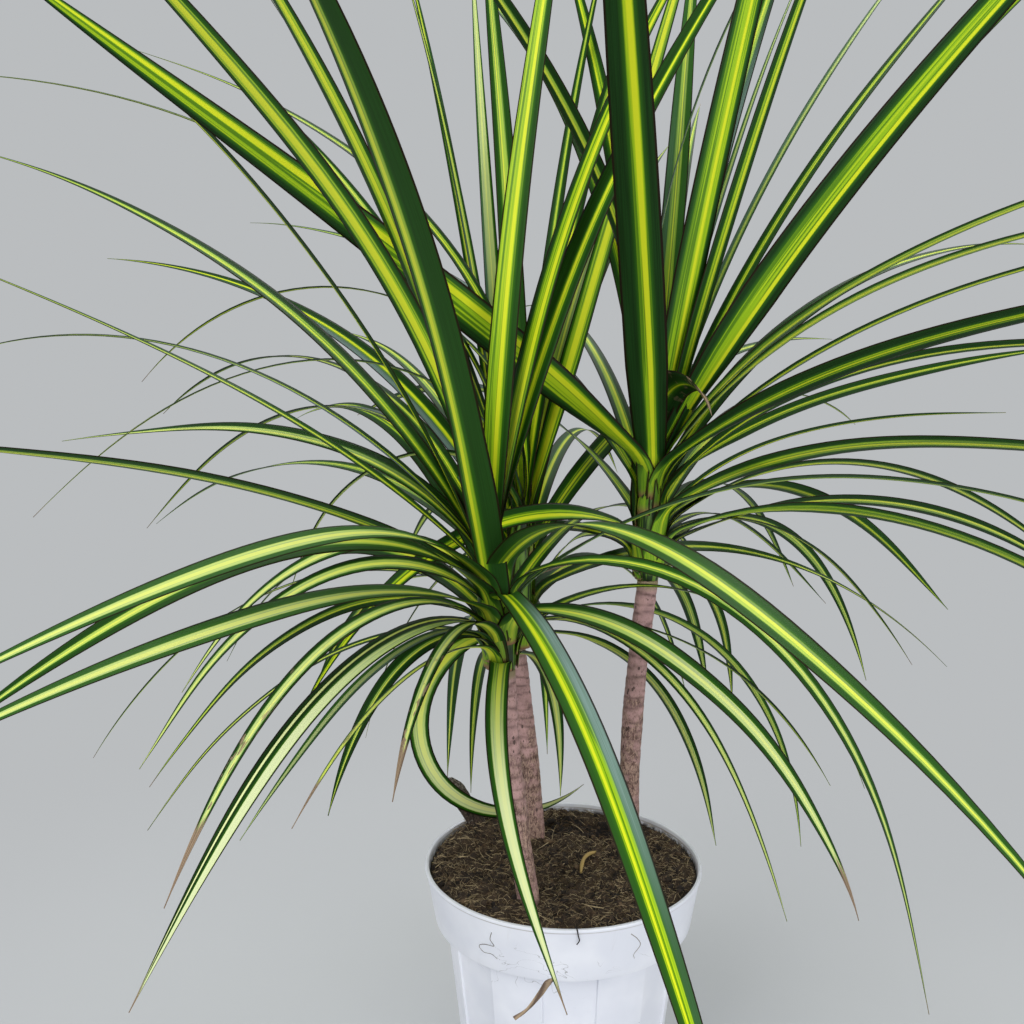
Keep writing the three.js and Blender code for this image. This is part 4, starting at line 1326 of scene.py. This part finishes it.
class StageLooks(bpy.types.PropertyGroup):
    floor: colour("Floor", "Colour of the floor", (0.51, 0.525, 0.535))
    air: colour("Air", "Colour of the light from all round", (0.615, 0.635, 0.650))
    glow: bpy.props.FloatProperty(
        name="Glow", description="Strength of the light from all round", default=0.80, min=0, max=3
    )
    view_angle: bpy.props.FloatProperty(
        name="View angle", description="The camera's angle of view", subtype="ANGLE",
        default=math.radians(52.0), min=0.2, max=2.0
    )


def body_radius(z):
    """Radius of the tapered body between its foot and the shoulder."""
    rise = (z - FOOT_HEIGHT) / (POT_HEIGHT - COLLAR_HEIGHT - FOOT_HEIGHT - 1)
    return BODY_BOTTOM_RADIUS + (BODY_TOP_RADIUS - BODY_BOTTOM_RADIUS) * rise


def inside_profile(inset, top):
    """Radii and heights of the pot's inside, up to a height, drawn in by an inset."""
    shoulder = POT_HEIGHT - COLLAR_HEIGHT + SHOULDER_HEIGHT + WALL
    rim_inside = RIM_RADIUS - BEAD_DEPTH - WALL
    shoulder_inside = COLLAR_BOTTOM_RADIUS - WALL
    slope = (rim_inside - shoulder_inside) / (POT_HEIGHT - BEAD_HEIGHT - shoulder)
    body_wall = WALL + PANEL_DEPTH + BODY_TOP_RADIUS * (1 - math.cos(math.pi / PANELS))
    return [
        (0, FLOOR + 2 + inset),
        (BODY_BOTTOM_RADIUS - body_wall - inset, FLOOR + 2 + inset),
        (BODY_TOP_RADIUS - body_wall - inset, shoulder - WALL + inset),
        (shoulder_inside - inset, shoulder + inset),
        (shoulder_inside - inset + slope * (top - shoulder), top),
    ]


class DRACAENA_OT_pot(bpy.types.Operator):
    """Builds the tapered pot with its beaded lip, collar and recessed panels"""

    bl_idname = "dracaena.pot"
    bl_label = "Pot"

    def execute(self, context):
        looks = context.scene.dracaena_pot
        bottom = POT_HEIGHT - COLLAR_HEIGHT
        lip = POT_HEIGHT - BEAD_HEIGHT
        outside = [*FOOT_PROFILE, *((body_radius(z), z) for z in BODY_HEIGHTS)]
        outside += [(radius, bottom + z) for radius, z in SHOULDER_PROFILE]
        outside += [(collar_radius(z), z) for z in (*COLLAR_HEIGHTS, lip - 1.0)]
        outside += [(radius, lip + z) for radius, z in BEAD_PROFILE]
        outside += [(radius, POT_HEIGHT + z) for radius, z in LIP_PROFILE]
        inside = inside_profile(0, lip)[::-1]
        columns = PANELS * looks.columns
        bm = lathe([(0, 0), *outside, *inside], columns)
        # Columns gather at the panels' edges, so that each step is crisp.
        even = [k / (looks.columns - 2) for k in range(1, looks.columns - 2)]
        shares = (0, PANEL_STEP, *even, 1 - PANEL_STEP)
        panel = math.tau / PANELS
        start = math.radians(PANEL_EDGE_DEG)
        for vert in bm.verts:
            x, y, z = vert.co
            radius = math.hypot(x, y)
            if radius < 1:
                continue
            angle = math.atan2(y, x) % math.tau
            column = round(angle / math.tau * columns)
            which, step = divmod(column, looks.columns)
            angle = start + (which + shares[step]) * panel
            outer = radius > body_radius(z) - 0.4 and PANEL_HEIGHTS[0] < z < PANEL_HEIGHTS[1]
            if which % 2 == 0 and step > 0 and outer:
                off = (shares[step] - 0.5) * panel
                flat = (body_radius(z) - PANEL_DEPTH) * math.cos(panel / 2) / math.cos(off)
                radius = min(radius, flat)
            vert.co = (radius * math.cos(angle), radius * math.sin(angle), z)
        mesh = mesh_in_metres(bm, "pot_mesh")
        finished("pot_plastic", mesh, [pot_finish(looks)], ["pot"])
        mesh.set_sharp_from_angle(angle=math.radians(SHARP_DEG))
        return {"FINISHED"}


class DRACAENA_OT_soil(bpy.types.Operator):
    """Builds the rough peat with its fibres, crumbs, rootlet, twig and threads"""

    bl_idname = "dracaena.soil"
    bl_label = "Soil"

    def execute(self, context):
        looks = context.scene.dracaena_soil
        draw = random.Random(looks.seed)
        edge_height = POT_HEIGHT - SOIL_DROP - 2
        profile = inside_profile(GAP, edge_height)
        edge = profile[-1][0]
        rings = [(edge * (1 - k / SOIL_RINGS), edge_height) for k in range(1, SOIL_RINGS)]
        bm = lathe([*profile, *rings, (0, edge_height)], SOIL_SECTORS)
        for vert in bm.verts:
            if abs(vert.co.z - edge_height) > 1e-3:
                continue
            x, y = vert.co.x, vert.co.y
            radius = math.hypot(x, y)
            rough = LUMPS[0] * noise.fractal(Vector((x, y, 3.0)) * LUMPS[1], 1.0, 2.0, 4)
            rough += GRAINS[0] * noise.noise(Vector((x, y, 9.0)) * GRAINS[1])
            share = min(1, max(0, (edge - radius) / SOIL_EDGE))
            vert.co.z = edge_height + share * (float(soil_height(x, y)) + rough - edge_height)
        mesh = mesh_in_metres(bm, "soil_mesh")
        finished("soil_peat", mesh, [peat_finish(looks)], ["soil"])

        self.fibres(looks, draw, edge)
        self.crumbs(looks, draw, edge)
        self.rootlets(looks)
        return {"FINISHED"}

    def rootlets(self, looks):
        """The rootlet over the lip, the yellow twig and the threads stuck to the collar."""
        template = rod_template(8, 40)
        unit = coordinates(template)
        upright = (0, 0, 1)
        outward = (0, -1, 0)
        stuck = [[collar_point(*place) for place in route] for route in (LEFT_THREAD, RIGHT_THREAD)]
        threads = [
            (LIP_ROOTLET, (0.42, 0.36, 0.30, 0.15), 0.34, (1, 0, 0), 0.05),
            (TWIG, (0.7, 1.3, 1.1, 1.3, 0.9), 1.1, upright, 1.0),
            (stuck[0], (0.18, 0.16, 0.10), 0.2, outward, 0.25),
            (stuck[1], (0.18, 0.16, 0.10), 0.2, outward, 0.35),
        ]
        points = [swept_rod(unit, route, wide, deep, facing) for route, wide, deep, facing, _ in threads]
        mesh = repeated(template, len(threads), "rootlet_mesh")
        set_coordinates(mesh, np.vstack(points))
        tone = np.repeat([tone for *_, tone in threads], len(unit))
        set_tone(mesh, tone)
        finish = tone_finish("rootlet", looks.peat_dark, looks.twig, 0.8)
        finished("soil_rootlets", mesh, [finish])

    def spot(self, draw, edge):
        """A random place on the soil."""
        angle = draw.uniform(0, math.tau)
        radius = (edge - 2) * math.sqrt(draw.random())
        x, y = radius * math.cos(angle), radius * math.sin(angle)
        return x, y, float(soil_height(x, y))

    def fibres(self, looks, draw, edge):
        """Short bent fibres, painted darker in the shaded hollow, and some long pale ones on top."""
        template = rod_template(3, 5)
        unit = coordinates(template)
        s = unit[:, 2]
        points, tones, strands = [], [], []
        for _ in range(looks.fibres):
            x, y, z = self.spot(draw, edge)
            tone = draw.betavariate(1.5, 1.8)
            # Painted shade: fibres in the hollow are darkened.
            if math.hypot((x - SHADED_HOLLOW[0]) / SHADED_HOLLOW[2], (y - SHADED_HOLLOW[1]) / SHADED_HOLLOW[3]) < 1:
                tone *= 0.25
            strands.append((x, y, z, draw.uniform(*FIBRE_LENGTHS), draw.uniform(*FIBRE_RADII), tone))
        for _ in range(LONG_FIBRES):
            x, y, z = self.spot(draw, edge)
            ranges = LONG_FIBRE_LENGTHS, LONG_FIBRE_RADII, LONG_FIBRE_TONES
            strands.append((x, y, z + 0.3, *(draw.uniform(*pair) for pair in ranges)))
        for x, y, z, length, radius, tone in strands:
            heading = draw.uniform(0, math.tau)
            turn = draw.uniform(-2.2, 2.2)
            tilt = draw.gauss(0.12, 0.35)
            along = along_direction(np.full_like(s, tilt), heading + turn * (s - 0.5))
            middle = vec((math.cos(heading), math.sin(heading), 0))
            cross = vec((-math.sin(heading), math.cos(heading), 0))
            bend = turn * length / 8 * (1 - (2 * s - 1) ** 2)
            run = (s - 0.5) * length * math.cos(tilt)
            centre = vec((x, y, z + draw.uniform(0.0, 1.0))) + middle * run[:, None] - cross * bend[:, None]
            centre[:, 2] += (s - 0.35) * length * math.sin(tilt) - 0.8 * (s - 0.5) ** 2 * length * 0.4
            sideways = np.cross(along, vec((0, 0, 1)))
            sideways /= np.linalg.norm(sideways, axis=1)[:, None]
            upward = np.cross(sideways, along)
            thin = radius * (1 - 0.75 * s)[:, None]
            placed = centre + sideways * unit[:, :1] * thin + upward * unit[:, 1:2] * thin
            # Nothing pokes through the pot's wall.
            reach = np.hypot(placed[:, 0], placed[:, 1])
            placed[:, :2] *= np.minimum(1, (edge - 0.4) / np.maximum(reach, 1e-6))[:, None]
            points.append(placed)
            tones.append(np.full(len(unit), tone))
        mesh = repeated(template, len(strands), "fibre_mesh")
        set_coordinates(mesh, np.vstack(points))
        set_tone(mesh, np.concatenate(tones))
        finish = tone_finish("peat_fibre", looks.fibre_dark, looks.fibre_light, 0.85)
        finished("soil_fibres", mesh, [finish])

    def crumbs(self, looks, draw, edge):
        """Loose lumps, mostly small and dark."""
        template = crumb_template()
        unit = coordinates(template)
        points, tones = [], []
        for _ in range(looks.crumbs):
            x, y, z = self.spot(draw, edge - 1.5)
            size = min(LARGEST_CRUMB, LEAST_CRUMB + draw.expovariate(1 / MORE_CRUMB))
            shape = vec((draw.uniform(0.7, 1.3), draw.uniform(0.7, 1.3), draw.uniform(0.5, 0.9))) * size
            turn = Matrix.Rotation(draw.uniform(0, math.tau), 3, "Z")
            jitter = 1 + vec([draw.uniform(-0.28, 0.28) for _ in unit])[:, None]
            points.append((unit * jitter * shape) @ vec(turn) + vec((x, y, z + 0.25 * size)))
            tones.append(np.full(len(unit), draw.betavariate(1.3, 3.2)))
        mesh = repeated(template, looks.crumbs, "crumb_mesh")
        set_coordinates(mesh, np.vstack(points))
        set_tone(mesh, np.concatenate(tones))
        finish = tone_finish("peat_crumb", looks.peat_dark, looks.peat_light, 0.95)
        finished("soil_crumbs", mesh, [finish])


class DRACAENA_OT_canes(bpy.types.Operator):
    """Builds the three ringed canes and the dead stump"""

    bl_idname = "dracaena.canes"
    bl_label = "Canes and stump"

    def execute(self, context):
        looks = context.scene.dracaena_canes
        material = bark_finish(looks)
        template = rod_template(CANE_SIDES, CANE_SEGMENTS)
        unit = coordinates(template)
        for name, stem in STEMS.items():
            self.cane(name, stem, template, unit, material, looks.ring_spacing / MM)
        self.stump(stump_finish(looks))
        return {"FINISHED"}

    def cane(self, name, stem, template, unit, material, spacing):
        """A bowed cane with slanted ring scars; its foot stands deep in the soil."""
        base, top = vec(stem["base"]), vec(stem["top"])
        height = top[2] - base[2]
        down = STEM_DEPTH / height
        t = -down + (1 + down) * np.linspace(0, 1, CANE_SEGMENTS + 1)
        above = np.clip(t, 0, 1)
        centres = base + (top - base) * t[:, None]
        centres[:, 0] += stem["bow"] * np.sin(math.pi * above)
        seed = CANE_SEEDS[name]
        ring_values = np.zeros(len(unit))

        def radii(share, turn):
            nonlocal ring_values
            here = -down + (1 + down) * share
            lift = np.clip(here, 0, 1)
            # Swollen a little at the foot, at the top and here and there
            swell = 1 + 0.03 * np.sin(share * 21.6) + 0.05 * (1 - lift)
            swell = swell + 0.06 * np.maximum(0, here - 0.85)
            z = here * height
            # Each scar is a slanted ring: the leaf bases wind round the cane.
            lean = 0.9 * np.sin(turn + z * 0.21 + seed) + 0.5 * np.sin(2 * turn + z * 0.13)
            phase = (z + lean + 1.1 * np.sin(z * 0.33 + seed)) / spacing
            saw = phase - np.floor(phase)
            ring = np.exp(-((np.minimum(saw, 1 - saw) / SCAR_WIDTH) ** 2))
            fade = 0.45 + 0.55 * lift
            ring_values = ring * fade
            spots = np.stack([np.cos(turn) * 1.6 + seed, np.sin(turn) * 1.6, z * 0.22], -1)
            rough = np.array([noise.fractal(Vector(p), 1.0, 2.0, 3) for p in spots])
            knob = 0
            if name == "right":
                left = wrapped(turn - math.pi)
                out, place, tall, wide = KNOB
                knob = out * np.exp(-(((here - place) / tall) ** 2)) * np.exp(-((left / wide) ** 2))
            fibrous = rough * (0.30 - 0.12 * lift)
            return stem["radius"] * swell - SCAR_DEPTH * ring * fade + SCAR_RISE * saw + fibrous + knob

        placed = lofted_rod(unit, centres, radii)
        mesh = repeated(template, 1, f"cane_{name}_mesh")
        set_coordinates(mesh, placed)
        here = np.clip(-down + (1 + down) * unit[:, 2], 0, 1)
        set_vectors(mesh, "bark", np.stack([ring_values, here, here], -1))
        finished(f"cane_{name}", mesh, [material], [f"stem_{name}"])

    def stump(self, material):
        """A dead stump with a ragged, rounded top."""
        template = rod_template(STUMP_SIDES, STUMP_SEGMENTS)
        unit = coordinates(template)
        base, top = vec(STUMP["base"]), vec(STUMP["top"])
        low = base - (top - base) * STUMP_DEPTH
        centres = low + (top - low) * np.linspace(0, 1, STUMP_SEGMENTS + 1)[:, None]

        def radii(share, turn):
            spots = np.stack([np.cos(turn) * 2.2, np.sin(turn) * 2.2, share * 9], -1)
            rough = np.array([noise.fractal(Vector(p), 1.0, 2.0, 4) for p in spots])
            bulge = 1 + 0.08 * np.sin(3 * turn + share * 6)
            bulge = bulge + 0.10 * np.exp(-(((share - 0.93) / 0.05) ** 2))
            over = np.clip((share - 0.86) / 0.14, 0, 1)
            end = np.sqrt(1 - 0.9 * over**2)
            return (STUMP["radius"] * bulge + rough * 0.9) * end

        placed = lofted_rod(unit, centres, radii)
        topmost = unit[:, 2] > 0.999
        placed[topmost, 2] += 0.6 * np.sin(np.arctan2(unit[topmost, 1], unit[topmost, 0]) * 3)
        mesh = repeated(template, 1, "stump_mesh")
        set_coordinates(mesh, placed)
        finished("stump_wood", mesh, [material], ["dead_stump"])


class DRACAENA_OT_leaves(bpy.types.Operator):
    """Builds the three leafy heads, each with its crown and its bent, folded, striped blades"""

    bl_idname = "dracaena.leaves"
    bl_label = "Leaves"

    def execute(self, context):
        looks = context.scene.dracaena_leaves
        materials = [leaf_finish(looks), crown_finish(looks)]
        template = blade_template()
        unit = coordinates(template)
        placed = place_leaves()
        if len(placed) < FEWEST_LEAVES:
            raise RuntimeError(f"only {len(placed)} leaves hang clear")
        for head in STEMS:
            mine = [leaf for leaf in placed if leaf["name"] == head]
            self.head(head, mine, template, unit, materials)
        self.dry_strip(looks)
        return {"FINISHED"}

    def dry_strip(self, looks):
        """The dry strip torn off the hanging front leaf."""
        template = rod_template(10, 48)
        unit = coordinates(template)
        mesh = repeated(template, 1, "dry_strip_mesh")
        set_coordinates(mesh, swept_rod(unit, DRY_STRIP, DRY_STRIP_HALF_WIDTHS, 0.25, (0.25, -1, 0.1)))
        tone = 0.45 + 0.45 * np.sin(unit[:, 0] * 2.2 + unit[:, 2] * 9)
        set_tone(mesh, tone)
        finish = tone_finish("dry_leaf", looks.dry_dark, looks.dry_light, 0.7)
        finished("dry_strip", mesh, [finish])

    def head(self, name, leaves, template, unit, materials):
        """One head as one piece: its blades with their marks, and the crown's core."""
        stem = STEMS[name]
        draw = random.Random(HEAD_SEEDS[name])
        row = np.rint(unit[:, 1]).astype(int)
        face = np.where(unit[:, 2] > 0.5, 1.0, -1.0)
        points = []
        looks = {"blade": [], "band": [], "line": [], "wear": []}
        for leaf in leaves:
            taper = BLUNT.get((name, leaf["row"]), TAPER)
            rows = bent_blade(stem, leaf["leaf"], draw, taper)
            points.append(folded_points(unit, rows))
            looks["blade"].append(np.stack([unit[:, 0], rows[5][row], face], -1))
            for key, found in look_of(name, leaf, draw).items():
                looks[key].append(np.tile(found, (len(unit), 1)))
        core = rod_template(CORE_SIDES, CORE_SEGMENTS)
        core_unit = coordinates(core)
        low, high = zip(*CROWN_PROFILE)
        share = np.linspace(0, CORE_TOP, CORE_SEGMENTS + 1)
        top, heart = vec(stem["top"]), vec(stem["heart"])
        centres = top + (heart - top) * share[:, None] + vec((0, 0, GAP))

        def radii(s, turn):
            return np.interp(s * CORE_TOP, low, high) - CORE_INSET

        core_points = lofted_rod(core_unit, centres, radii)
        bm = bmesh.new()
        for _ in leaves:
            bm.from_mesh(template)
        bm.from_mesh(core)
        mesh = mesh_from(bm, f"leaves_{name}_mesh")
        set_coordinates(mesh, np.vstack(points + [core_points]))
        still = np.zeros((len(core_unit), 3))
        for key, values in looks.items():
            set_vectors(mesh, key, np.vstack(values + [still]))
        set_material(mesh, len(template.polygons) * len(leaves), 1)
        strip_map(mesh, template, len(leaves), len(mesh.loops))
        finished(f"foliage_{name}", mesh, materials, [f"leaves_{name}"])


class DRACAENA_OT_stage(bpy.types.Operator):
    """Sets up the floor, the soft lights and the camera"""

    bl_idname = "dracaena.stage"
    bl_label = "Stage"

    def execute(self, context):
        looks = context.scene.dracaena_stage
        scene = context.scene
        bm = bmesh.new()
        bmesh.ops.create_circle(bm, cap_ends=True, segments=96, radius=FLOOR_RADIUS)
        floor = bpy.data.objects.new("floor", mesh_from(bm, "floor_mesh"))
        floor.location.z = -FLOOR_DROP
        f = Finish("pale_floor", 0.6)
        cloudy = tuple(c * FLOOR_SHADE for c in looks.floor)
        f.colour(f.mix(f.noise(f.place(), 3.0), looks.floor, cloudy))
        # Away from the plant the floor turns into the pale air, so no horizon shows.
        x, y, _ = f.split(f.place())
        reach = f.distance(x, y)
        glow = f.node("ShaderNodeEmission")
        f.put(glow.inputs["Color"], looks.air)
        glow.inputs["Strength"].default_value = looks.glow
        blend = f.node("ShaderNodeMixShader")
        f.put(blend.inputs[0], f.ramp(reach, *FADE))
        f.put(blend.inputs[1], f.shader.outputs[0])
        f.put(blend.inputs[2], glow.outputs[0])
        f.put(f.tree.nodes["Material Output"].inputs["Surface"], blend.outputs[0])
        floor.data.materials.append(f.material)
        scene.collection.objects.link(floor)

        world = bpy.data.worlds.new("air")
        world.use_nodes = True
        world.node_tree.nodes["Background"].inputs[0].default_value = (*looks.air, 1)
        world.node_tree.nodes["Background"].inputs[1].default_value = looks.glow
        scene.world = world
        scene.view_settings.view_transform = "Standard"

        for name, place, size, power in LIGHTS:
            light = bpy.data.lights.new(name, "AREA")
            light.energy = power
            light.size = size
            lamp = bpy.data.objects.new(name, light)
            lamp.location = place
            lamp.rotation_mode = "QUATERNION"
            toward = Vector(LIGHT_AIM) - Vector(place)
            lamp.rotation_quaternion = toward.to_track_quat("-Z", "Y")
            scene.collection.objects.link(lamp)

        camera = bpy.data.cameras.new("photo_camera")
        camera.sensor_width = SENSOR_MM
        camera.lens = SENSOR_MM / 2 / math.tan(looks.view_angle / 2)
        camera.clip_start = 0.01
        seen = bpy.data.objects.new("photo_camera", camera)
        seen.location = CAMERA_PLACE
        seen.rotation_euler = (math.radians(90 - CAMERA_DOWN_DEG), 0, 0)
        scene.collection.objects.link(seen)
        scene.camera = seen
        return {"FINISHED"}


class DRACAENA_PT_parts(bpy.types.Panel):
    """Lists the plant's parts with their sizes and colours"""

    bl_idname = "DRACAENA_PT_parts"
    bl_label = "Dragon Tree"
    bl_space_type = "VIEW_3D"
    bl_region_type = "UI"
    bl_category = "Dragon Tree"

    def draw(self, context):
        for operator, settings in STEPS:
            self.layout.operator(operator)
            group = getattr(context.scene, settings)
            for key in group.__annotations__:
                self.layout.prop(group, key)


STEPS = (
    ("dracaena.stage", "dracaena_stage"),
    ("dracaena.pot", "dracaena_pot"),
    ("dracaena.soil", "dracaena_soil"),
    ("dracaena.canes", "dracaena_canes"),
    ("dracaena.leaves", "dracaena_leaves"),
)
GROUPS = {
    "dracaena_stage": StageLooks,
    "dracaena_pot": PotLooks,
    "dracaena_soil": SoilLooks,
    "dracaena_canes": CaneLooks,
    "dracaena_leaves": LeafLooks,
}
CLASSES = (
    *GROUPS.values(),
    DRACAENA_OT_stage,
    DRACAENA_OT_pot,
    DRACAENA_OT_soil,
    DRACAENA_OT_canes,
    DRACAENA_OT_leaves,
    DRACAENA_PT_parts,
)


def register():
    for cls in CLASSES:
        bpy.utils.register_class(cls)
    for name, group in GROUPS.items():
        setattr(bpy.types.Scene, name, bpy.props.PointerProperty(type=group))


def unregister():
    for name in GROUPS:
        delattr(bpy.types.Scene, name)
    for cls in reversed(CLASSES):
        bpy.utils.unregister_class(cls)


def main():
    register()
    for operator, _ in STEPS:
        group, name = operator.split(".")
        getattr(getattr(bpy.ops, group), name)()


if __name__ == "__main__":
    main()
